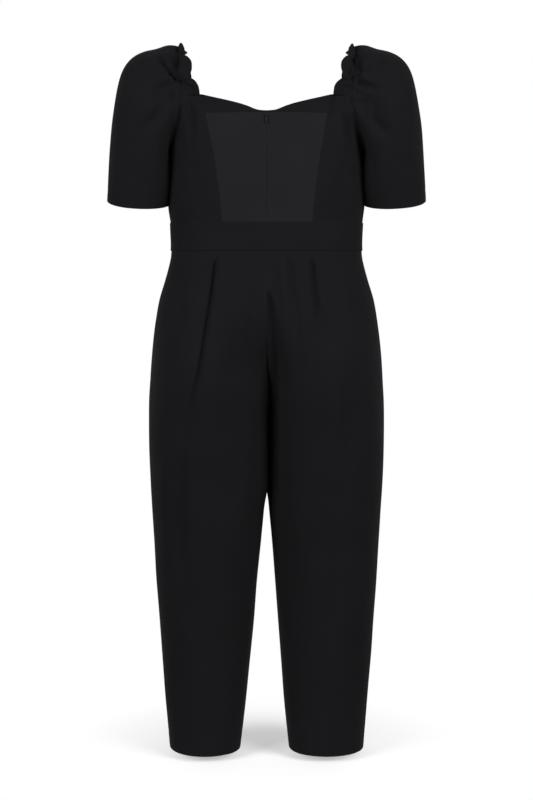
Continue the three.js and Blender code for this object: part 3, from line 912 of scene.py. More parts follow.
# Creases of the back above the waist: they run on from sleeve to ruffle to side back
UPPER_BACK_FOLDS = (
    Fold(((-201, 18), (-189, 30), (-180, 44), (-171, 57), (-162, 65)), -10.0, 5.0, 1.0),
    Fold(((-150, 12), (-159, 18), (-165, 33), (-169, 50), (-167, 60)), -8.0, 4.2, 1.0),
    Fold(((-172, 58), (-165, 63), (-155, 70), (-145, 75), (-132, 79)), -11.0, 4.2, 1.0),
    Fold(((-208, 80), (-190, 78), (-170, 76), (-154, 80)), -4.0, 5.0, 1.2),
    Fold(((-162, 63), (-184, 62), (-206, 60)), 4.0, 5.5, 1.5),
    Fold(((-182, 52), (-208, 44), (-236, 44)), -3.4, 6.5, 1.8),
    Fold(((-158, 84), (-187, 117), (-218, 152), (-242, 180)), -7.0, 8.0, 1.9),
    Fold(((-170, 84), (-196, 95), (-228, 106)), -3.6, 7.0, 2.0),
    Fold(((-162, 96), (-184, 135), (-200, 178)), 4.0, 7.0, 1.7),
    Fold(((-170, 108), (-175, 156), (-184, 206)), -4.0, 6.0, 1.2),
    Fold(((-147, 96), (-138, 134), (-134, 196)), -4.4, 6.0, 1.5),
    Fold(((-160, 98), (-163, 146), (-162, 200)), -4.6, 5.5, 1.4),
    Fold(((-153, 98), (-151, 140), (-148, 190)), 2.4, 5.5, 1.4),
    Fold(((-126, 106), (-128, 160), (-131, 225)), 1.8, 8.0, 1.5),
    Fold(((-136, 215), (-128, 255), (-124, 305)), -1.6, 10.0, 1.2),
    Fold(((-232, 60), (-252, 96), (-262, 140)), -2.6, 13.0, 1.5),
    Fold(((160, 16), (163, 26), (169, 42), (174, 57)), -8.5, 5.2, 1.0),
    Fold(((152, 24), (155, 31), (161, 48), (168, 62)), -6.0, 3.6, 1.1),
    Fold(((218, 24), (206, 28), (187, 37), (174, 50)), -4.0, 6.4, 0.9),
    Fold(((168, 58), (190, 54), (214, 50)), 3.6, 5.5, 1.5),
    Fold(((149, 50), (152, 52), (167, 66), (191, 78), (226, 83)), -10.0, 5.0, 1.4),
    Fold(((172, 84), (200, 92), (232, 100)), 3.2, 6.0, 1.6),
    Fold(((138, 77), (146, 80), (166, 88), (188, 95)), -5.5, 4.0, 1.2),
    Fold(((148, 94), (185, 129), (215, 160), (248, 196)), -7.5, 7.5, 1.9),
    Fold(((160, 96), (196, 118), (236, 136)), -3.2, 7.0, 1.8),
    Fold(((156, 110), (176, 146), (192, 190)), 4.0, 6.5, 1.6),
    Fold(((131, 86), (122, 114), (118, 150)), -3.2, 5.0, 1.4),
    Fold(((142, 122), (151, 165), (162, 222)), -4.4, 6.5, 1.3),
    Fold(((134, 112), (140, 165), (146, 225)), 2.0, 6.0, 1.4),
    Fold(((156, 116), (172, 168), (188, 212), (198, 250)), -5.0, 6.5, 1.3),
    Fold(((143, 212), (141, 250), (138, 300)), -2.0, 9.0, 1.3),
    Fold(((236, 66), (256, 104), (266, 150)), -2.6, 13.0, 1.5),
)

# Creases of the front above the waist
UPPER_FRONT_FOLDS = (
    Fold(((-198, 28), (-184, 42), (-170, 56)), -4.4, 6.0, 0.9),
    Fold(((-168, 74), (-192, 78), (-222, 84)), -4.0, 6.5, 1.7),
    Fold(((-164, 90), (-186, 118), (-212, 150)), -4.6, 8.5, 1.8),
    Fold(((-158, 104), (-156, 150), (-150, 214)), -2.6, 8.0, 1.6),
    Fold(((-134, 130), (-112, 178), (-98, 236)), -1.8, 11.0, 1.5),
    Fold(((-92, 318), (-96, 278), (-104, 240)), -2.0, 9.0, 1.4),
    Fold(((196, 30), (184, 42), (171, 56)), -4.4, 6.0, 0.9),
    Fold(((170, 70), (196, 72), (226, 80)), -4.4, 6.0, 1.6),
    Fold(((166, 94), (190, 122), (216, 158)), -4.2, 9.0, 1.8),
    Fold(((160, 108), (157, 156), (149, 220)), -2.8, 7.5, 1.6),
    Fold(((132, 134), (114, 184), (102, 240)), -1.6, 11.0, 1.5),
    Fold(((90, 318), (93, 280), (102, 246)), -2.0, 9.0, 1.4),
)

# Creases of the trousers behind
TROUSER_BACK_FOLDS = (
    Fold(
        ((-88, 388), (-91, 410), (-98, 469), (-108, 534), (-117, 595), (-130, 645), (-146, 705), (-156, 770)),
        5.5, 8.0, 1.6, FoldShape.PLEAT, 1.0, 0.12, 0.5,
    ),
    Fold(((-93, 384), (-101, 455), (-116, 548), (-131, 640), (-150, 740), (-158, 860)), -4.0, 14.0, 1.2),
    Fold(((-62, 395), (-78, 548), (-102, 700), (-116, 800)), 3.4, 20.0, 1.0),
    Fold(((-152, 720), (-157, 850), (-154, 960), (-148, 1090)), -6.0, 10.0, 1.6),
    Fold(((-188, 740), (-187, 850), (-181, 980)), 2.6, 10.0, 1.4),
    Fold(((-10, 610), (-13, 720), (-20, 850), (-34, 980)), -4.4, 11.0, 1.6),
    Fold(((-30, 490), (-31, 540), (-34, 600)), -2.0, 5.0, 1.4),
    Fold(((-150, 420), (-160, 480), (-168, 545)), -2.4, 8.0, 1.6),
    Fold(((4, 440), (8, 480), (13, 540), (16, 600), (13, 655), (7, 715)), -10.5, 9.5, 1.1),
    Fold(((30, 470), (40, 550), (46, 640)), 2.4, 10.0, 1.5),
    Fold(((41, 388), (43, 410), (46, 455), (51, 530)), -5.6, 4.8, 1.5),
    Fold(((17, 400), (19, 430), (24, 480), (30, 540)), -4.6, 4.6, 1.6),
    Fold(((83, 388), (85, 410), (88, 450), (95, 500), (104, 575)), -7.5, 5.0, 1.6),
    Fold(((76, 388), (78, 430), (83, 490), (90, 560)), 2.4, 6.0, 1.5),
    Fold(((52, 455), (55, 505), (58, 560)), -2.6, 5.0, 1.5),
    Fold(((6, 640), (16, 745), (26, 840), (40, 950), (58, 1080)), -6.0, 15.0, 1.5),
    Fold(((144, 600), (149, 700), (153, 810)), -4.4, 9.0, 1.5),
    Fold(((181, 640), (182, 700), (180, 790)), -2.2, 8.0, 1.3),
    Fold(((122, 890), (119, 1010), (112, 1140)), -2.6, 15.0, 1.2),
    Fold(((150, 420), (160, 470), (168, 530)), -2.2, 8.0, 1.4),
)

# Creases of the trousers in front
TROUSER_FRONT_FOLDS = (
    Fold(((-80, 384), (-84, 450), (-92, 560), (-104, 800)), -6.0, 15.0, 1.2),
    Fold(((-79, 384), (-83, 440), (-90, 520)), 3.4, 6.0, 1.4, FoldShape.PLEAT, -1.0, 0.05, 0.5),
    Fold(((-46, 384), (-50, 440), (-56, 520)), -3.0, 9.0, 1.5),
    Fold(((86, 384), (90, 440), (98, 540), (104, 720)), -5.0, 15.0, 1.2),
    Fold(((84, 384), (88, 440), (94, 510)), 3.4, 6.0, 1.4, FoldShape.PLEAT, 1.0, 0.05, 0.5),
    Fold(((44, 384), (48, 440), (52, 530)), -3.0, 9.0, 1.5),
    Fold(((6, 470), (14, 540), (18, 600), (14, 660)), -4.5, 9.0, 1.3),
    Fold(((-8, 480), (-16, 545), (-18, 610), (-12, 668)), -3.5, 9.0, 1.3),
    Fold(((-150, 760), (-152, 880), (-148, 1010)), -3.0, 12.0, 1.5),
    Fold(((146, 720), (150, 850), (150, 990)), -3.0, 12.0, 1.5),
    Fold(((40, 740), (50, 880), (66, 1040)), -3.0, 16.0, 1.4),
    Fold(((-46, 760), (-54, 900), (-72, 1060)), -3.0, 16.0, 1.4),
)


@dataclass
class Bodice:
    """The bodice: side backs, centre-back insets, neck bands and the front.

    Attributes:
        crepe: Material of all but the insets.
        fine_cloth: Material of the insets.
        side_back_cut: Flat size of a side back.
        inset_cut: Flat size of an inset.
        neck_band_cut: Flat size of a neck band.
        front_cut: Flat size of the front.
        zip_ridge_out: How far from the centre the zip's tape shows as a ridge.
        zip_ridge_wide: Half width of that ridge.
        zip_ridge_rise: Its height.
        strain_rise: Height of the strain lines beside the zip.
        zip_lip_starts: Drops over which the zip's lip starts.
        hollow_deep: Depth of the hollow below the armhole.
        neck_roll: Height of the neck edge's roll.
        front_neck_out: Distances from the centre over which the front neckline rises.
        front_neck_share: Share of the half width from which the front's grid is level.
        back_uneven: Height of the slow unevenness of a side back.
        inset_uneven: Its height on an inset.
        neck_uneven: Its height on a neck band.
        front_uneven: Its height on the front.
    """

    crepe: bpy.types.Material
    fine_cloth: bpy.types.Material
    side_back_cut: Cut = Cut(0.15, 0.235, 0.031)
    inset_cut: Cut = Cut(0.115, 0.20, 0.0195)
    neck_band_cut: Cut = Cut(0.125, 0.035, 0.0026)
    front_cut: Cut = Cut(0.52, 0.235, 0.104)
    zip_ridge_out: float = 11.0
    zip_ridge_wide: float = 2.6
    zip_ridge_rise: float = 0.7
    strain_rise: float = 0.5
    zip_lip_starts: tuple[float, float] = (150.0, 215.0)
    hollow_deep: float = 2.6
    neck_roll: float = 0.5
    front_neck_out: tuple[float, float] = (30.0, 122.0)
    front_neck_share: float = 0.75
    back_uneven: float = 0.22
    inset_uneven: float = 0.2
    neck_uneven: float = 0.12
    front_uneven: float = 0.3

    def build(self) -> None:
        """Builds every piece of the bodice."""
        for side in Side:
            self.side_back(side)
            self.inset(side)
            self.neck_band(side)
        self.front()

    def side_back(self, side: Side) -> None:
        """Builds the dark panel between an inset and the armhole or side seam.

        Args:
            side: Which side of the garment.
        """
        sign = side.value

        def form(u: Array, v: Array) -> Array:
            """The panel's form.

            Args:
                u: Shares across.
                v: Shares down.

            Returns:
                The points.
            """
            drop = mix(SHOULDER_FOOT, BAND_TOP, v)
            inner = turn_at(INSET_EDGE.read(side.word, drop), drop)
            return bridged(body_point(sign, -1, mix(armhole_turn(-1, drop), inner, u), drop))

        def relief(points: Array, u: Array, v: Array) -> Array:
            """A soft hollow below the armhole, and a slow unevenness.

            Args:
                points: The form's points.
                u: Shares across.
                v: Shares down.

            Returns:
                The rise of each point.
            """
            fade = smooth(0.02, 0.2, v) * (1 - smooth(0.45, 0.8, v))
            hollow = -self.hollow_deep * bump(u, 0.32, 0.16) * fade
            calm = smooth(0, 0.05, u) * (1 - smooth(0.92, 1, u)) * (1 - smooth(0.93, 1, v))
            return hollow + unevenness(points, self.back_uneven) * calm

        ClothSheet(
            node=f"side_back_{side.word}",
            form=form,
            relief=relief,
            folds=UPPER_BACK_FOLDS,
            calm=(0.04, 0.1, 0.03, 0.08),
            columns=60,
            rows=104,
            outward=sign,
            cut=self.side_back_cut,
            rests_on=(f"shoulder_ruffle_{side.word}", f"inset_{side.word}"),
        ).build(self.crepe)

    def inset(self, side: Side) -> None:
        """Builds half of the lighter centre back, from its curved seam to the zip.

        Args:
            side: Which side of the garment.
        """
        sign = side.value

        def form(u: Array, v: Array) -> Array:
            """The inset's form.

            Args:
                u: Shares across.
                v: Shares down.

            Returns:
                The points.
            """
            drop = mix(INSET_TOP, BAND_TOP, v)
            outer = turn_at(INSET_EDGE.read(side.word, drop), drop)
            return body_point(sign, -1, mix(outer, 0, u), drop)

        def relief(points: Array, u: Array, v: Array) -> Array:
            """The ridge of the zip's tape and its lip, with soft strain lines beside it.

            Args:
                points: The form's points.
                u: Shares across.
                v: Shares down.

            Returns:
                The rise of each point.
            """
            out = np.abs(points[..., 0])
            ridge = self.zip_ridge_rise * bump(out, self.zip_ridge_out, self.zip_ridge_wide)
            ridge = ridge + zip_lip(points) * smooth(*self.zip_lip_starts, -points[..., 2])
            strain = self.strain_rise * np.sin(points[..., 2] / 19 + 1.7 * sign) * bump(u, 0.86, 0.16)
            calm = smooth(0, 0.06, u) * (1 - smooth(0.94, 1, v)) * smooth(0, 0.05, v)
            strain = strain * (1 - smooth(0.97, 1, u))
            return ridge * calm + (strain + unevenness(points, self.inset_uneven)) * calm

        ClothSheet(
            node=f"inset_{side.word}",
            form=form,
            relief=relief,
            columns=48,
            rows=96,
            outward=sign,
            cut=self.inset_cut,
            slot=Slot.INSET,
            held=Held.STRETCHED,
            rests_on=(f"neck_band_{side.word}", f"side_back_{side.word}"),
        ).build(self.fine_cloth)

    def neck_band(self, side: Side) -> None:
        """Builds the dark band over an inset, narrower towards the zip.

        Args:
            side: Which side of the garment.
        """
        sign = side.value

        def form(u: Array, v: Array) -> Array:
            """The band's form.

            Args:
                u: Shares across.
                v: Shares down.

            Returns:
                The points.
            """
            top_out = INSET_EDGE.read(side.word, np.array(SHOULDER_FOOT)) * (1 - u)
            drop = mix(NECKLINE.read("drop", top_out), INSET_TOP, v)
            out = INSET_EDGE.read(side.word, drop) * (1 - u)
            return body_point(sign, -1, turn_at(out, drop), drop)

        def relief(points: Array, u: Array, v: Array) -> Array:
            """A slight roll of the neck edge."""
            roll = self.neck_roll * bump(v, 0.12, 0.1) * smooth(0, 0.1, u)
            return roll + unevenness(points, self.neck_uneven)

        ClothSheet(
            node=f"neck_band_{side.word}",
            form=form,
            relief=relief,
            columns=60,
            rows=14,
            outward=sign,
            cut=self.neck_band_cut,
            held=Held.STRETCHED,
            rests_on=(f"side_back_{side.word}",),
            top=Edge.LIP,
        ).build(self.crepe)

    def front(self) -> None:
        """Builds the front of the bodice, one piece from side to side."""

        def form(u: Array, v: Array) -> Array:
            """The front's form.

            Args:
                u: Shares across.
                v: Shares down.

            Returns:
                The points.
            """
            across = 2 * u - 1
            share = np.abs(across)
            top = np.array(SHOULDER_FOOT)
            out = body_point(1, 1, armhole_turn(1, top) * share, top)[..., 0]
            plain = mix(SHOULDER_FOOT, BAND_TOP, v)
            neck = mix(FRONT_NECK_DROP, SHOULDER_FOOT, smooth(*self.front_neck_out, out))
            drop = mix(mix(neck, BAND_TOP, v), plain, smooth(self.front_neck_share, 1, share))
            return body_point(np.sign(across), 1, armhole_turn(1, plain) * share, drop)

        def relief(points: Array, u: Array, v: Array) -> Array:
            """A slow unevenness.

            Args:
                points: The form's points.
                u: Shares across.
                v: Shares down.

            Returns:
                The rise of each point.
            """
            sides = smooth(0, 0.04, u) * (1 - smooth(0.96, 1, u))
            calm = sides * (1 - smooth(0.93, 1, v)) * smooth(0, 0.05, v)
            return unevenness(points, self.front_uneven) * calm

        ClothSheet(
            node="bodice_front",
            form=form,
            relief=relief,
            folds=UPPER_FRONT_FOLDS,
            columns=120,
            rows=70,
            outward=1,
            cut=self.front_cut,
            rests_on=("shoulder_ruffle_left", "shoulder_ruffle_right"),
            top=Edge.LIP,
        ).build(self.crepe)


@dataclass
class Shoulders:
    """The gathered shoulder straps and the short full sleeves.

    Attributes:
        crepe: Their material.
        ruffle_cut: Flat size of a strap.
        sleeve_cut: Flat size of a sleeve, all round.
        ruffle_deep: Half the depth of a strap's free edge, from back to front.
        ruffle_front_extra: How much deeper its front half is.
        ruffle_front_narrow: How much further out the front half's free edge lies.
        ruffle_narrow_ends: Drops over which that ends.
        ruffle_waves: Number of waves along the free edge.
        ruffle_rise: Height of the waves.
        ruffle_puff: How far the strap's middle puffs up.
        ruffle_lap: How far the strap reaches under the sleeve.
        tuck_count: Number of tucks along its seam.
        tuck_rise: Height of the tucks.
        tuft_rise: Height of the bunched cloth at the top of the shoulder.
        hem_slope: How much lower the sleeve's hem is behind, as a slope.
        gathers: Number of broad gathers round the sleeve's head.
        gather_rise: Height of the broad gathers.
        small_gathers: Number of small gathers round it.
        small_rise: Height of the small gathers.
        sleeve_square: How square the sleeve's rings are below its head.
        sleeve_hem: Depth of the sleeve's hem.
        sleeve_lap: How far the sleeve reaches into its seam.
        sleeve_clear: How far the sleeve stays off the bodice.
        sleeve_uneven: Height of the sleeve's slow unevenness.
        creases_start: Distances from the shoulder line over which the sleeve's creases start.
        close_out: Distances from the centre over which the sleeve leaves the bodice.
        close_drop: Drops over which it does.
        close_share: Strength of the creases where it lies close to the bodice.
    """

    crepe: bpy.types.Material
    ruffle_cut: Cut = Cut(0.34, 0.042, 0.0122)
    sleeve_cut: Cut = Cut(0.62, 0.30, 0.155)
    ruffle_deep: float = 90.0
    ruffle_front_extra: float = 9.0
    ruffle_front_narrow: float = 9.0
    ruffle_narrow_ends: tuple[float, float] = (60.0, 98.0)
    ruffle_waves: int = 5
    ruffle_rise: float = 3.0
    ruffle_puff: float = 5.5
    ruffle_lap: float = 2.5
    tuck_count: int = 11
    tuck_rise: float = 1.25
    tuft_rise: float = 5.5
    hem_slope: float = 0.24
    gathers: int = 9
    gather_rise: float = 3.4
    small_gathers: int = 27
    small_rise: float = 1.6
    sleeve_square: float = 2.15
    sleeve_hem: float = 20.0
    sleeve_lap: float = 0.6
    sleeve_clear: float = 0.8
    sleeve_uneven: float = 0.35
    creases_start: tuple[float, float] = (4.0, 14.0)
    close_out: tuple[float, float] = (186.0, 198.0)
    close_drop: tuple[float, float] = (100.0, 125.0)
    close_share: float = 0.35

    def build(self) -> None:
        """Builds both shoulders."""
        for side in Side:
            self.ruffle(side)
            self.sleeve(side)

    def tuft(self, turn: Array) -> Array:
        """The bunched cloth at the top of a shoulder, for a turn from its top."""
        return self.tuft_rise * bump(turn, -0.09, 0.24)

    def ruffle(self, side: Side) -> None:
        """Builds a strap over the shoulder, sewn to the armhole and waving along its free edge.

        Args:
            side: Which side of the garment.
        """
        sign = side.value
        middle = ARMHOLE_BOTTOM / 2
        start = math.acos((1 - (SHOULDER_FOOT + 1) / middle) ** (ARMHOLE_SQUARE / 2))
        phase = 0.4 if side is Side.LEFT else 1.3

        def form(u: Array, v: Array) -> Array:
            """The strap's form.

            Args:
                u: Shares across.
                v: Shares down.

            Returns:
                The points.
            """
            turn = mix(-start, start, u)
            up, side_way = square_oval(turn, np.array(ARMHOLE_SQUARE))
            drop = middle * (1 - up)
            edge = np.where(turn < 0, armhole_out(-1, drop), armhole_out(1, drop))
            front = smooth(0, 0.8, turn)
            narrow = self.ruffle_front_narrow * front * (1 - smooth(*self.ruffle_narrow_ends, drop))
            free = RUFFLE_EDGE.read("out", drop) + narrow
            deep = mix(ARMHOLE_DEEP, self.ruffle_deep + self.ruffle_front_extra * front, v)
            return bridged(np.stack([sign * mix(edge, free, v), side_way * deep, -drop], axis=-1))

        def relief(points: Array, u: Array, v: Array) -> Array:
            """Waves of the free edge, the tuft at the top, and small tucks along the seam.

            Args:
                points: The form's points.
                u: Shares across.
                v: Shares down.

            Returns:
                The rise of each point.
            """
            ends = smooth(0, 0.09, u) * (1 - smooth(0.91, 1, u))
            seam = smooth(0, 0.14, v)
            hang = v * (1 - smooth(0.7, 1, v))
            wave = self.ruffle_rise * hang * np.sin(2 * np.pi * self.ruffle_waves * u + phase)
            wave = wave + self.ruffle_puff * np.sin(np.pi * v**0.85)
            tuft = self.tuft(mix(-start, start, u)) * (1 - 0.4 * smooth(0.3, 1, v))
            beat = 1 + 0.45 * np.sin(2 * np.pi * 3.3 * u + phase)
            tuck_line = u * self.tuck_count + 0.8 * np.sin(7 * u + phase) + 0.5 * v * np.sin(9 * u + phase)
            tucks = self.tuck_rise * beat * np.sin(2 * np.pi * tuck_line) * (1 - 0.6 * smooth(0.3, 1, v))
            back = creased(UPPER_BACK_FOLDS, points) * (u < 0.5)
            front = creased(UPPER_FRONT_FOLDS, points) * (u >= 0.5)
            side_fade = smooth(0, 0.04, np.abs(u - 0.5))
            creases = (back + front) * side_fade * smooth(0, 0.12, v) * (1 - 0.75 * smooth(0.65, 1, v))
            return ((wave + tucks) * seam + tuft + creases) * ends

        ClothSheet(
            node=f"shoulder_ruffle_{side.word}",
            form=form,
            relief=relief,
            columns=260,
            rows=34,
            lap=self.ruffle_lap,
            top=Edge.GATHER,
            outward=sign,
            cut=self.ruffle_cut,
            held=Held.GATHERED,
            rests_on=(f"sleeve_{side.word}",),
            first=Edge.LIP,
            last=Edge.LIP,
            foot=Edge.LIP,
        ).build(self.crepe)

    def sleeve(self, side: Side) -> None:
        """Builds a short full sleeve, gathered into the shoulder and open at its hem.

        Args:
            side: Which side of the garment.
        """
        sign = side.value
        last = len(SLEEVE.rows) - 1
        root = dict(zip(SLEEVE.columns, SLEEVE.rows[0]))

        def form(u: Array, v: Array) -> Array:
            """The sleeve's form.

            Args:
                u: Shares across.
                v: Shares down.

            Returns:
                The points.
            """
            square = mix(ARMHOLE_SQUARE, self.sleeve_square, smooth(0, 0.6, v))
            oval_up, oval_side = square_oval(2 * np.pi * u, square)
            up = (1 + oval_up) / 2
            y = SLEEVE.read("deep", v * last) * oval_side
            plain = mix(SLEEVE.read("low_out", v * last), SLEEVE.read("up_out", v * last), up)
            start_drop = mix(ARMHOLE_BOTTOM, 0, up)
            edge = np.where(y < 0, armhole_out(-1, start_drop), armhole_out(1, start_drop))
            ring = mix(root["low_out"], root["up_out"], up)
            drop = mix(SLEEVE.read("low_drop", v * last), SLEEVE.read("up_drop", v * last), up)
            drop = drop - self.hem_slope * y * v * v
            out = plain + (edge - ring) * (1 - v) ** 3
            body = np.where(y < 0, bodice_out(-1, y, drop), bodice_out(1, y, drop))
            out = np.maximum(out, body + self.sleeve_clear * smooth(0, 0.05, v))
            return bridged(np.stack([sign * out, y, -drop], axis=-1))

        def relief(points: Array, u: Array, v: Array) -> Array:
            """Gathers that run out of the shoulder, and the creases of the back and front.

            Args:
                points: The form's points.
                u: Shares across.
                v: Shares down.

            Returns:
                The rise of each point.
            """
            turn = np.mod(2 * np.pi * u + np.pi, 2 * np.pi) - np.pi
            cap = smooth(-0.2, 0.7, np.cos(turn))
            fade = smooth(0, 0.12, v) * (1 - smooth(0.3, 0.95, v))
            waves = np.cos(2 * np.pi * self.gathers * u) * (1 - smooth(0.12, 0.5, v))
            waves = waves * smooth(0.3, 1.0, np.abs(turn))
            broad = self.gather_rise * cap * fade * (0.75 + 0.25 * waves) * (1 - 0.6 * bump(turn, 0, 0.6))
            beat = 1 + 0.6 * np.sin(2 * np.pi * 5 * u + 0.8 * sign)
            near = smooth(0, 0.03, v) * (1 - smooth(0.06, 0.4, v))
            line = self.small_gathers * u + 0.5 * np.sin(2 * np.pi * 4 * u)
            small = self.small_rise * beat * cap * near * np.cos(2 * np.pi * line + 3 * v)
            small = small * smooth(0.35, 0.95, np.abs(turn))
            crest = self.tuft(turn) * (1 - smooth(0, 0.2, v))
            back = creased(UPPER_BACK_FOLDS, points) * smooth(*self.creases_start, -points[..., 1])
            front = creased(UPPER_FRONT_FOLDS, points) * smooth(*self.creases_start, points[..., 1])
            creases = back + front + unevenness(points, self.sleeve_uneven)
            free = mix(self.close_share, 1, smooth(*self.close_out, np.abs(points[..., 0])))
            free = np.maximum(free, 1 - smooth(*self.close_drop, -points[..., 2]))
            return crest + broad + small + creases * smooth(0, 0.05, v) * free

        ClothSheet(
            node=f"sleeve_{side.word}",
            form=form,
            relief=relief,
            columns=216,
            rows=92,
            lap=self.sleeve_lap,
            top=Edge.GATHER,
            outward=-sign,
            cut=self.sleeve_cut,
            held=Held.GATHERED,
            rests_on=(f"shoulder_ruffle_{side.word}", f"side_back_{side.word}"),
            foot=Edge.HEM,
            hem_deep=self.sleeve_hem,
            around=True,
        ).build(self.crepe)


@dataclass
class Waistband:
    """The straight waistband: one piece in front and two behind.

    Attributes:
        crepe: Its material.
        front_cut: Flat size of the front piece.
        back_cut: Flat size of a back piece.
        front_columns: Number of steps across the front piece.
        back_columns: Number of steps across a back piece.
        fullness: How far the band's middle stands out.
        pull_rise: Height of the slight pulls across it.
    """

    crepe: bpy.types.Material
    front_cut: Cut = Cut(0.50, 0.053, 0.0255)
    back_cut: Cut = Cut(0.24, 0.053, 0.0125)
    front_columns: int = 180
    back_columns: int = 96
    fullness: float = 0.35
    pull_rise: float = 0.25

    def build(self) -> None:
        """Builds the band."""
        self.piece("waistband_front", 1, 1, self.front_columns, self.front_cut, ("bodice_front",))
        for side in Side:
            over = (f"inset_{side.word}", f"side_back_{side.word}")
            self.piece(f"waistband_back_{side.word}", -1, side.value, self.back_columns, self.back_cut, over)

    def piece(self, node: str, face: int, sign: int, columns: int, cut: Cut, over: tuple[str, ...]) -> None:
        """Builds one piece of the band.

        Args:
            node: Name of its solid.
            face: Sign along Y.
            sign: Sign along X of a back piece.
            columns: Number of steps across.
            cut: Its flat size.
            over: Names of what it hangs from.
        """

        def form(u: Array, v: Array) -> Array:
            """The band's form.

            Args:
                u: Shares across.
                v: Shares down.

            Returns:
                The points.
            """
            drop = mix(BAND_TOP, BAND_BOTTOM, v)
            if face > 0:
                across = 2 * u - 1
                return body_point(np.sign(across), 1, np.pi / 2 * np.abs(across), drop)
            return body_point(sign, -1, np.pi / 2 * (1 - u), drop)

        def relief(points: Array, u: Array, v: Array) -> Array:
            """Slight pulls across the band, a fuller middle and the zip's lip behind.

            Args:
                points: The form's points.
                u: Shares across, not used.
                v: Shares down.

            Returns:
                The rise of each point.
            """
            x, z = points[..., 0], points[..., 2]
            pull = self.pull_rise * np.sin(z / 7.5 + x / 60) * np.sin(x / 31 + 1)
            lip = zip_lip(points) * (1 - smooth(0.3, 0.95, v))
            return pull + self.fullness * np.sin(np.pi * v) + (lip if face < 0 else 0.0)

        ClothSheet(
            node=node,
            form=form,
            relief=relief,
            columns=columns,
            rows=22,
            outward=sign,
            cut=cut,
            rests_on=over,
            thick=BAND_CLOTH,
            lift=BAND_PROUD,
        ).build(self.crepe)


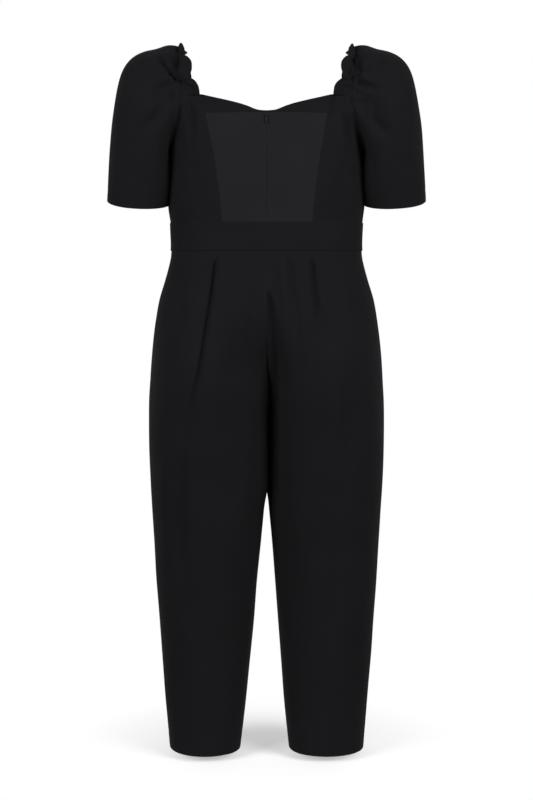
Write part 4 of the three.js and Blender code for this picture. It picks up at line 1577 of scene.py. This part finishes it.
@dataclass
class Trousers:
    """The trousers: four panels, with a pocket in each side seam.

    Attributes:
        crepe: Their material.
        back_cut: Flat size of a back panel.
        front_cut: Flat size of a front panel.
        facing_cut: Flat size of the pocket facing that shows.
        hem_deep: Depth of the hems.
        pocket_share: How far a facing reaches over each panel, as a share of its width.
        pocket_gape: How far the pocket's mouth sinks in.
        gape_starts: Length over which it does at its upper end.
        gape_ends: Length over which it does at its lower end.
        band_calm: Drops over which the slow unevenness starts, from the waistband.
        uneven: Height of the slow unevenness.
        facing_behind: How far a facing lies behind the panels.
        parts_back: Drop at which the back starts to part into two legs.
        parts_front: Drop at which the front does.
        parts_below: How far below the crotch each leg is a full ring.
        seam_across: Share across from which the centre seam sinks in later than the panel.
        seam_sink: How late it sinks in.
        seat_fill: How much fuller the cloth is where the body parts into two legs.
        leg_power: Roundness of a leg, less for a squarer one.
        square_left: How much squarer the left inner thigh is.
        square_right: How much squarer the right one is.
        square_across: Shares across over which that starts.
        square_starts: Drops over which it starts.
        square_fades: Drops over which half of it goes.
        closed_across: Share across from which the crotch seam is drawn to the centre.
        closed_drops: Drops over which that ends, from the crotch.
        seam_half_gap: Half the gap at the crotch seam.
        thigh_lean: How far the inner thighs lean over the gap between the legs.
        lean_starts: Drops over which they start to lean, from the crotch.
        lean_ends: How far below the parting of the knees the lean ends.
        lean_deep: Distance from the middle plane over which it changes side.
        lean_wide: How far out it reaches.
    """

    crepe: bpy.types.Material
    back_cut: Cut = Cut(0.375, 0.945, 0.292)
    front_cut: Cut = Cut(0.345, 0.945, 0.272)
    facing_cut: Cut = Cut(0.075, 0.145, 0.009)
    hem_deep: float = 30.0
    pocket_share: float = 0.085
    pocket_gape: float = 1.6
    gape_starts: float = 30.0
    gape_ends: float = 40.0
    band_calm: tuple[float, float] = (-1.0, 14.0)
    uneven: float = 0.42
    facing_behind: float = 1.3
    parts_back: float = 430.0
    parts_front: float = 480.0
    parts_below: float = 50.0
    seam_across: float = 0.6
    seam_sink: float = 2.2
    seat_fill: float = 0.1
    leg_power: float = 0.94
    square_left: float = 0.4
    square_right: float = 0.25
    square_across: tuple[float, float] = (0.45, 0.8)
    square_starts: tuple[float, float] = (560.0, 660.0)
    square_fades: tuple[float, float] = (850.0, 1100.0)
    closed_across: float = 0.85
    closed_drops: tuple[float, float] = (-5.0, 15.0)
    seam_half_gap: float = 0.7
    thigh_lean: float = 5.0
    lean_starts: tuple[float, float] = (-90.0, -10.0)
    lean_ends: float = 60.0
    lean_deep: float = 22.0
    lean_wide: float = 34.0

    def build(self) -> None:
        """Builds the panels and the pocket facings."""
        for side in Side:
            for face in Face:
                self.panel(side, face)
            self.pocket_facing(side)

    def point(self, sign: int, face: int, u: Array, drop: Array) -> Array:
        """A point of a trouser panel.

        Args:
            sign: Sign along X.
            face: Sign along Y.
            u: 0 at the side seam, 1 at the centre seam or the inseam.
            drop: Distance below the shoulder tops.

        Returns:
            Points with a last axis of three coordinates.
        """
        body = body_point(sign, face, np.pi / 2 * (1 - u), drop)
        outer = BODY.read("half", drop)
        inner = LEG.read("left" if sign < 0 else "right", drop)
        deep = LEG.read("back" if face < 0 else "front", drop)
        leg_x = sign * ((outer + inner) / 2 + (outer - inner) / 2 * np.cos(np.pi * u))
        squarer = smooth(*self.square_across, u) * smooth(*self.square_starts, drop)
        squarer = squarer * (1 - 0.5 * smooth(*self.square_fades, drop))
        power = self.leg_power - (self.square_left if sign < 0 else self.square_right) * squarer
        leg_y = face * deep * np.maximum(np.sin(np.pi * u), 0) ** power

        start = self.parts_back if face < 0 else self.parts_front
        sink = np.clip((drop - start) / (CROTCH - start), 0, 1)
        panel_share = smooth(start, CROTCH + self.parts_below, drop)
        share = mix(panel_share, sink**self.seam_sink, smooth(self.seam_across, 1, u))
        fill = 1 + self.seat_fill * 4 * share * (1 - share) * np.sin(np.pi * u)
        x = mix(body[..., 0], leg_x, share)
        y = mix(body[..., 1], leg_y, share) * fill

        below = drop - CROTCH
        closed = smooth(self.closed_across, 1, u) * (1 - smooth(*self.closed_drops, below))
        leaning = smooth(*self.lean_starts, below) * (1 - smooth(0, self.lean_ends, drop - KNEES_PART))
        lean = self.thigh_lean * np.tanh(y / self.lean_deep) * leaning * bump(x, 0, self.lean_wide)
        x = x * (1 - closed) - self.seam_half_gap * sign * closed - lean
        return np.stack(np.broadcast_arrays(x, y, -drop), axis=-1)

    def panel(self, side: Side, face: Face) -> None:
        """Builds one trouser panel, from the waistband to the hem.

        Args:
            side: Which side of the garment.
            face: Its back or its front.
        """
        sign = side.value
        back = face is Face.BACK
        folds = TROUSER_BACK_FOLDS if back else TROUSER_FRONT_FOLDS
        folds = tuple(fold for fold in folds if np.sign(fold.path[-1][0]) == sign)

        def form(u: Array, v: Array) -> Array:
            """The panel's form."""
            drop = mix(BAND_BOTTOM, HEM, v)
            return self.point(sign, face.value, u, drop)

        def relief(points: Array, u: Array, v: Array) -> Array:
            """A slow unevenness that dies out at the seams, and the sunken mouth of the pocket.

            Args:
                points: The form's points.
                u: Shares across.
                v: Shares down, not used.

            Returns:
                The rise of each point.
            """
            calm = smooth(0, 0.07, u) * (1 - smooth(0.8, 0.95, u))
            drop = -points[..., 2]
            waist = smooth(*self.band_calm, drop - BAND_BOTTOM)
            gape = smooth(POCKET_TOP, POCKET_TOP + self.gape_starts, drop)
            gape = gape * (1 - smooth(POCKET_FOOT - self.gape_ends, POCKET_FOOT, drop))
            mouth = -self.pocket_gape * gape * bump(u, 0.0, 0.02)
            return unevenness(points, self.uneven) * calm * waist + mouth

        ClothSheet(
            node=f"trouser_{face.word}_{side.word}",
            form=form,
            relief=relief,
            folds=folds,
            calm=(0.03, 0.03, 0.006, 0.02),
            columns=108 if back else 66,
            rows=280 if back else 170,
            outward=-face.value * sign,
            cut=self.back_cut if back else self.front_cut,
            rests_on=(f"waistband_back_{side.word}" if back else "waistband_front",),
            foot=Edge.HEM,
            hem_deep=self.hem_deep,
        ).build(self.crepe)

    def pocket_facing(self, side: Side) -> None:
        """Builds the cloth that shows behind the opening of a side-seam pocket.

        Args:
            side: Which side of the garment.
        """
        sign = side.value

        def form(u: Array, v: Array) -> Array:
            """The facing's form.

            Args:
                u: Shares across.
                v: Shares down.

            Returns:
                The points.
            """
            across = 2 * u - 1
            drop = mix(POCKET_TOP, POCKET_FOOT, v)
            share = self.pocket_share * np.abs(across)
            back = self.point(sign, -1, share, drop)
            front = self.point(sign, 1, share, drop)
            return np.where((across < 0)[..., None], back, front)

        ClothSheet(
            node=f"pocket_facing_{side.word}",
            form=form,
            columns=16,
            rows=24,
            outward=-sign,
            cut=self.facing_cut,
            rests_on=(f"trouser_back_{side.word}", f"trouser_front_{side.word}"),
            thick=TAPE_CLOTH,
            lift=-CLOTH - self.facing_behind,
            first=Edge.HIDDEN,
            last=Edge.HIDDEN,
            top=Edge.HIDDEN,
            foot=Edge.HIDDEN,
        ).build(self.crepe)


@dataclass
class Zip:
    """The concealed zip: two tapes with their teeth behind the centre back, slider and pull tab.

    Attributes:
        tape: Material of the tapes and teeth.
        metal: Material of the slider and pull tab.
        tape_cut: Flat size of one tape.
        tape_wide: How far a tape reaches from the centre.
        tape_top: Drop of the tapes' upper ends.
        tape_foot: Drop of their lower ends.
        tape_depth: How far behind the cloth's face they lie.
        tape_inner: Half the gap between the tapes.
        bevel: Radius of the slider's and pull's soft edges.
        tooth_pitch: Distance between teeth.
        tooth_out: How far a tooth's middle lies from the centre.
        tooth_size: Width, thickness and height of a tooth.
    """

    tape: bpy.types.Material
    metal: bpy.types.Material
    tape_cut: Cut = Cut(0.01, 0.247, 0.0024)
    tape_wide: float = 10.0
    tape_top: float = 125.0
    tape_foot: float = 372.0
    tape_depth: float = 1.7
    tape_inner: float = 0.35
    bevel: float = 0.14
    tooth_pitch: float = 1.25
    tooth_out: float = 0.55
    tooth_size: tuple[float, float, float] = (1.9, 1.2, 0.7)

    def build(self) -> None:
        """Builds the tapes and teeth, and finishes the slider and pull."""
        for side in Side:
            self.tape_piece(side)
        self.teeth()
        for node in ("zip_slider", "zip_pull"):
            self.finish_metal(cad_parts[node])

    def tape_piece(self, side: Side) -> None:
        """Builds one woven tape behind the centre-back edge.

        Args:
            side: Which side of the garment.
        """
        sign = side.value

        def form(u: Array, v: Array) -> Array:
            """The tape's form."""
            drop = mix(self.tape_top, self.tape_foot, v)
            return body_point(sign, -1, turn_at(mix(self.tape_wide, self.tape_inner, u), drop), drop)

        ClothSheet(
            node=f"zip_tape_{side.word}",
            form=form,
            columns=8,
            rows=60,
            outward=sign,
            cut=self.tape_cut,
            slot=Slot.TAPE,
            held=Held.STRETCHED,
            rests_on=(f"inset_{side.word}",),
            thick=TAPE_CLOTH,
            lift=-self.tape_depth,
            first=Edge.HIDDEN,
            last=Edge.HIDDEN,
            top=Edge.HIDDEN,
            foot=Edge.HIDDEN,
        ).build(self.tape)

    def teeth(self) -> None:
        """Builds two rows of small teeth that mesh behind the tapes."""
        depth = self.tape_depth + TAPE_CLOTH
        drops = np.arange(self.tape_top + 3, self.tape_foot - 2, self.tooth_pitch)
        spine = body_point(1, -1, np.zeros_like(drops), drops)
        points, faces = [], []
        wide, thick, tall = self.tooth_size
        signs = (-1, 1)
        corners = np.array([(x, y, z) for x in signs for y in signs for z in signs], float) / 2
        box = np.array([(0, 1, 3, 2), (4, 6, 7, 5), (0, 4, 5, 1), (2, 3, 7, 6), (0, 2, 6, 4), (1, 5, 7, 3)])
        for k, (x, y, z) in enumerate(spine):
            way = 1 if k % 2 else -1
            centre = np.array([way * self.tooth_out, y + depth + thick / 2, z])
            faces.append(box + 8 * len(points))
            points.append(centre + corners * (wide, thick, tall))
        piece = mesh_object("zip_teeth", np.concatenate(points) * MM, np.concatenate(faces))
        piece.data.materials.append(self.tape)
        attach(piece, "garment")
        log.info("zip_teeth: %d teeth", len(drops))

    def finish_metal(self, node: bpy.types.Object) -> None:
        """Gives a hard piece of the zip its metal finish and soft edges.

        Args:
            node: The solid's object.
        """
        node.data.materials.clear()
        node.data.materials.append(self.metal)
        soften = node.modifiers.new("soft edges", "BEVEL")
        soften.width = self.bevel * MM
        soften.segments = 2
        soften.limit_method = "ANGLE"
        log.info("%s: finished", node.name)


class NodeBench:
    """Lays out and links the nodes of one material.

    Attributes:
        material: The material.
        tree: Its node tree.
        output: Its output node.
        shader: Its surface shader.
    """

    def __init__(self, name: str) -> None:
        """Starts a material with a plain surface shader.

        Args:
            name: Name of the material.
        """
        self.material = bpy.data.materials.new(name)
        self.material.use_nodes = True
        self.tree = self.material.node_tree
        self.tree.nodes.clear()
        self.output = self.tree.nodes.new("ShaderNodeOutputMaterial")
        self.shader = self.add("ShaderNodeBsdfPrincipled")
        self.join(self.shader.outputs[0], self.output.inputs["Surface"])

    def add(self, kind: str, inputs: dict[str, object] | None = None, **options: object) -> bpy.types.Node:
        """Adds a node.

        Args:
            kind: Its type.
            inputs: Values of its sockets, by name.
            **options: Its own properties.

        Returns:
            The node.
        """
        node = self.tree.nodes.new(kind)
        for key, value in options.items():
            setattr(node, key, value)
        for key, value in (inputs or {}).items():
            node.inputs[key].default_value = value
        return node

    def join(self, source: Socket, target: Socket) -> None:
        """Links an output to an input."""
        self.tree.links.new(source, target)

    def work_out(self, operation: str, a: object, b: object) -> Socket:
        """Works out one number from two.

        Args:
            operation: What is done with them.
            a: A socket or a plain number.
            b: A socket or a plain number.

        Returns:
            The number's socket.
        """
        node = self.add("ShaderNodeMath", operation=operation)
        for socket, value in zip(node.inputs, (a, b)):
            if isinstance(value, Socket):
                self.join(value, socket)
            else:
                socket.default_value = value
        return node.outputs[0]

    def noise(self, scale: float, detail: float, place: Socket, twist: float = 0.0) -> Socket:
        """A noise pattern.

        Args:
            scale: Number of its spots to a metre.
            detail: Number of finer layers.
            place: Where it is read.
            twist: How far its lines are bent.

        Returns:
            The pattern, around one half.
        """
        node = self.add("ShaderNodeTexNoise", {"Scale": scale, "Detail": detail, "Distortion": twist})
        self.join(place, node.inputs["Vector"])
        return node.outputs["Fac"]

    def between(self, value: Socket, low: float, high: float, a: float, b: float) -> Socket:
        """Maps a value from one range to another, held at its ends.

        Args:
            value: The value.
            low: Start of its range.
            high: End of its range.
            a: The result at the start.
            b: The result at the end.

        Returns:
            The result.
        """
        node = self.add("ShaderNodeMapRange", {"From Min": low, "From Max": high, "To Min": a, "To Max": b})
        self.join(value, node.inputs["Value"])
        return node.outputs["Result"]

    def number(self, name: str) -> Socket:
        """A number that the mesh keeps at its points."""
        return self.add("ShaderNodeAttribute", attribute_name=name).outputs["Fac"]

    def shade(self, colour: Colour, strength: Socket) -> None:
        """Joins a colour to the shader.

        Args:
            colour: The mean colour.
            strength: Makes it lighter or darker, around 1.
        """
        node = self.add("ShaderNodeVectorMath", operation="SCALE")
        node.inputs[0].default_value = colour
        self.join(strength, node.inputs["Scale"])
        self.join(node.outputs["Vector"], self.shader.inputs["Base Color"])

    def relief(self, height: Socket, deep: float) -> None:
        """Joins a height pattern to the shader as bumps.

        Args:
            height: The pattern.
            deep: Depth of the bumps in metres.
        """
        node = self.add("ShaderNodeBump", {"Strength": 1.0, "Distance": deep})
        self.join(height, node.inputs["Height"])
        self.join(node.outputs["Normal"], self.shader.inputs["Normal"])


# Wavelength of Blender's band pattern at scale 1
WAVE_LENGTH = 0.314


@dataclass(frozen=True)
class ClothFinish:
    """A matte woven cloth with a fine uneven surface.

    Attributes:
        name: Name of the material.
        colour: Its mean colour.
        roughness: Roughness of its fibres.
        gloss: Strength of its dull reflection.
        fuzz: Strength of the light edge that loose fibres give.
        pebble: Size of the crinkles in metres.
        pebble_deep: Depth of the crinkles in metres.
        yarn: Distance between yarns in metres.
        patchy: How far its shade varies.
    """

    name: str
    colour: Colour
    roughness: float
    gloss: float
    fuzz: float
    pebble: float
    pebble_deep: float
    yarn: float
    patchy: float

    def material(self) -> bpy.types.Material:
        """Builds the material.

        Returns:
            The material.
        """
        bench = NodeBench(self.name)
        place = bench.add("ShaderNodeTexCoord").outputs["Object"]
        crinkle = bench.noise(1 / self.pebble, 3.0, place, 0.7)
        broad = bench.noise(14.0, 2.0, place)
        uneven = bench.noise(95.0, 2.0, place)
        grain = bench.add("ShaderNodeUVMap", uv_map="grain").outputs["UV"]
        threads = []
        for way in ("X", "Y"):
            wave = {"Scale": WAVE_LENGTH / self.yarn, "Distortion": 1.2}
            thread = bench.add("ShaderNodeTexWave", wave, bands_direction=way)
            bench.join(grain, thread.inputs["Vector"])
            threads.append(thread.outputs["Fac"])
        woven = bench.work_out("MULTIPLY", bench.work_out("ADD", *threads), 0.22)
        seam = bench.number("from_seam")
        pucker = bench.work_out("MULTIPLY", uneven, bench.between(seam, 0.5, 7.0, 0.9, 0.0))
        height = bench.work_out("ADD", bench.work_out("ADD", crinkle, woven), pucker)
        bench.relief(height, self.pebble_deep)
        shade = bench.between(broad, 0.3, 0.7, 1 - self.patchy, 1 + self.patchy)
        shade = bench.work_out("MULTIPLY", shade, bench.between(crinkle, 0.3, 0.7, 0.88, 1.12))
        worn = bench.between(seam, 0.0, 1.6, 1.22, 1.0)
        bench.shade(self.colour, bench.work_out("MULTIPLY", shade, worn))
        rough = bench.between(uneven, 0.3, 0.7, self.roughness - 0.05, self.roughness + 0.05)
        bench.join(rough, bench.shader.inputs["Roughness"])
        sockets = bench.shader.inputs
        sockets["Specular IOR Level"].default_value = self.gloss
        sockets["Sheen Weight"].default_value = self.fuzz
        sockets["Sheen Roughness"].default_value = 0.42
        sockets["Sheen Tint"].default_value = (0.9, 0.92, 1.0, 1.0)
        return bench.material


@dataclass(frozen=True)
class MetalFinish:
    """Satin metal of the zip's slider and pull, with faint brushing.

    Attributes:
        name: Name of the material.
        colour: Its mean colour.
        roughness: Its mean roughness.
        brush_deep: Depth of the brushing in metres.
    """

    name: str
    colour: Colour
    roughness: float
    brush_deep: float = 0.00002

    def material(self) -> bpy.types.Material:
        """Builds the material.

        Returns:
            The material.
        """
        bench = NodeBench(self.name)
        place = bench.add("ShaderNodeTexCoord").outputs["Object"]
        brushed = bench.noise(2600.0, 2.0, place)
        cloudy = bench.noise(260.0, 2.0, place)
        bench.relief(brushed, self.brush_deep)
        bench.shade(self.colour, bench.between(cloudy, 0.3, 0.7, 0.85, 1.15))
        rough = bench.between(cloudy, 0.3, 0.7, self.roughness - 0.06, self.roughness + 0.06)
        bench.join(rough, bench.shader.inputs["Roughness"])
        bench.shader.inputs["Metallic"].default_value = 1.0
        return bench.material


CREPE = ClothFinish(
    "black crepe", (0.0058, 0.0059, 0.0065), roughness=0.8, gloss=0.015, fuzz=0.016,
    pebble=0.0011, pebble_deep=0.00016, yarn=0.0006, patchy=0.05,
)
FINE_CLOTH = ClothFinish(
    "fine matte cloth", (0.0088, 0.0089, 0.0096), roughness=0.85, gloss=0.018, fuzz=0.018,
    pebble=0.0007, pebble_deep=0.00008, yarn=0.0004, patchy=0.04,
)
ZIP_TAPE = ClothFinish(
    "woven tape", (0.0050, 0.0050, 0.0055), roughness=0.75, gloss=0.04, fuzz=0.02,
    pebble=0.0006, pebble_deep=0.00006, yarn=0.0007, patchy=0.03,
)
ZIP_METAL = MetalFinish("dark satin metal", (0.018, 0.018, 0.019), 0.55)


@dataclass(frozen=True)
class Lamp:
    """A large soft lamp.

    Attributes:
        name: Its name.
        place: Where it stands, in metres.
        size: Length of its side in metres.
        power: Its power in watts.
    """

    name: str
    place: Place
    size: float
    power: float


@dataclass
class Studio:
    """A pale floor, soft light and the camera at the photograph's angle. Lengths are in metres.

    Attributes:
        floor_drop: How far the floor lies below the shoulder tops.
        floor_radius: Radius of the floor.
        floor_solid: Radius up to which it is the least clear.
        floor_gone: Share of its radius at which it is all clear.
        floor_clear: How clear its middle is.
        floor_colour: Its colour.
        camera_away: Distance of the camera.
        camera_height: Height of the camera above the shoulder tops.
        lens: Its focal length in millimetres.
        shift: Its upward shift, as a share of the frame.
        wall: Strength of the backdrop's light from behind the garment.
        room: Strength of the room's light from the camera's side.
        wall_starts: Directions, as shares towards the backdrop, between which one becomes the other.
        lamps: The lamps.
        aim: Where the lamps point.
    """

    floor_drop: float = 1.318
    floor_radius: float = 0.46
    floor_solid: float = 0.12
    floor_gone: float = 0.85
    floor_clear: float = 0.42
    floor_colour: Colour = (0.86, 0.86, 0.86)
    camera_away: float = 3.0
    camera_height: float = -0.4136
    lens: float = 71.81
    shift: float = -0.1625
    wall: float = 1.0
    room: float = 0.3
    wall_starts: tuple[float, float] = (0.3, 0.9)
    lamps: tuple[Lamp, ...] = (
        Lamp("key lamp", (2.5, -2.35, 0.65), 1.8, 166.0),
        Lamp("fill lamp", (-2.65, -2.4, 0.45), 1.8, 152.0),
    )
    aim: Place = (0.0, 0.0, -0.6)

    def build(self) -> None:
        """Builds the studio."""
        self.colour_response()
        self.surround()
        self.floor()
        for lamp in self.lamps:
            self.light(lamp)
        self.camera()

    def colour_response(self) -> None:
        """Shows colours plainly, as a product photograph does."""
        bpy.context.scene.view_settings.view_transform = "Standard"

    def surround(self) -> None:
        """A white backdrop, whose light is strong from behind the garment and dim from the camera's side."""
        world = bpy.data.worlds.new("studio room")
        world.use_nodes = True
        tree = world.node_tree
        place = tree.nodes.new("ShaderNodeTexCoord")
        parts = tree.nodes.new("ShaderNodeSeparateXYZ")
        turn = tree.nodes.new("ShaderNodeMapRange")
        turn.interpolation_type = "SMOOTHSTEP"
        limits = ("From Min", "From Max", "To Min", "To Max")
        for limit, value in zip(limits, (*self.wall_starts, self.room, self.wall)):
            turn.inputs[limit].default_value = value
        background = tree.nodes["Background"]
        background.inputs["Color"].default_value = (1, 1, 1, 1)
        tree.links.new(place.outputs["Generated"], parts.inputs[0])
        tree.links.new(parts.outputs["Y"], turn.inputs["Value"])
        seen = tree.nodes.new("ShaderNodeLightPath")
        strength = tree.nodes.new("ShaderNodeMath")
        strength.operation = "MAXIMUM"
        tree.links.new(turn.outputs["Result"], strength.inputs[0])
        tree.links.new(seen.outputs["Is Camera Ray"], strength.inputs[1])
        tree.links.new(strength.outputs[0], background.inputs["Strength"])
        bpy.context.scene.world = world

    def floor(self) -> None:
        """A pale round floor that fades into the surround."""
        steps = 96
        turns = np.linspace(0, 2 * np.pi, steps, endpoint=False)
        rim = [(math.cos(turn), math.sin(turn)) for turn in turns]
        points = [(self.floor_radius * x, self.floor_radius * y, -self.floor_drop) for x, y in rim]
        floor = bpy.data.objects.new("floor", bpy.data.meshes.new("floor"))
        floor.data.from_pydata(points, [], [tuple(range(steps))])
        bpy.context.scene.collection.objects.link(floor)
        floor.data.materials.append(self.floor_finish())

    def floor_finish(self) -> bpy.types.Material:
        """A matte pale finish that grows clear towards the floor's rim.

        Returns:
            The material.
        """
        bench = NodeBench("pale floor")
        place = bench.add("ShaderNodeTexCoord").outputs["Object"]
        length = bench.add("ShaderNodeVectorMath", operation="LENGTH")
        flat = bench.add("ShaderNodeVectorMath", operation="MULTIPLY")
        flat.inputs[1].default_value = (1, 1, 0)
        bench.join(place, flat.inputs[0])
        bench.join(flat.outputs[0], length.inputs[0])
        cloudy = bench.between(bench.noise(3.0, 2.0, place), 0.3, 0.7, 0.99, 1.01)
        bench.shade(self.floor_colour, cloudy)
        bench.shader.inputs["Roughness"].default_value = 0.9
        bench.shader.inputs["Specular IOR Level"].default_value = 0.1
        clear = bench.add("ShaderNodeBsdfTransparent")
        blend = bench.add("ShaderNodeMixShader")
        gone = self.floor_radius * self.floor_gone
        clearness = bench.between(length.outputs["Value"], self.floor_solid, gone, self.floor_clear, 1)
        bench.join(clearness, blend.inputs[0])
        bench.join(bench.shader.outputs[0], blend.inputs[1])
        bench.join(clear.outputs[0], blend.inputs[2])
        bench.join(blend.outputs[0], bench.output.inputs["Surface"])
        return bench.material

    def light(self, lamp: Lamp) -> None:
        """Sets up a lamp, aimed at the garment.

        Args:
            lamp: The lamp.
        """
        data = bpy.data.lights.new(lamp.name, "AREA")
        data.size = lamp.size
        data.energy = lamp.power
        stand = bpy.data.objects.new(lamp.name, data)
        stand.location = lamp.place
        way = Vector(self.aim) - Vector(lamp.place)
        stand.rotation_euler = way.to_track_quat("-Z", "Y").to_euler()
        bpy.context.scene.collection.objects.link(stand)

    def camera(self) -> None:
        """A level camera behind the garment, as in the photograph."""
        data = bpy.data.cameras.new("camera")
        data.lens = self.lens
        data.shift_y = self.shift
        camera = bpy.data.objects.new("camera", data)
        camera.location = (0.0, -self.camera_away, self.camera_height)
        camera.rotation_euler = (math.pi / 2, 0.0, 0.0)
        bpy.context.scene.collection.objects.link(camera)
        bpy.context.scene.camera = camera


def main() -> None:
    """Builds the jumpsuit and its studio."""
    logging.basicConfig(level=logging.INFO, format="%(message)s")
    crepe = CREPE.material()
    fine_cloth = FINE_CLOTH.material()
    Studio().build()
    Bodice(crepe, fine_cloth).build()
    Shoulders(crepe).build()
    Waistband(crepe).build()
    Trousers(crepe).build()
    Zip(ZIP_TAPE.material(), ZIP_METAL.material()).build()


if __name__ == "__main__":
    main()
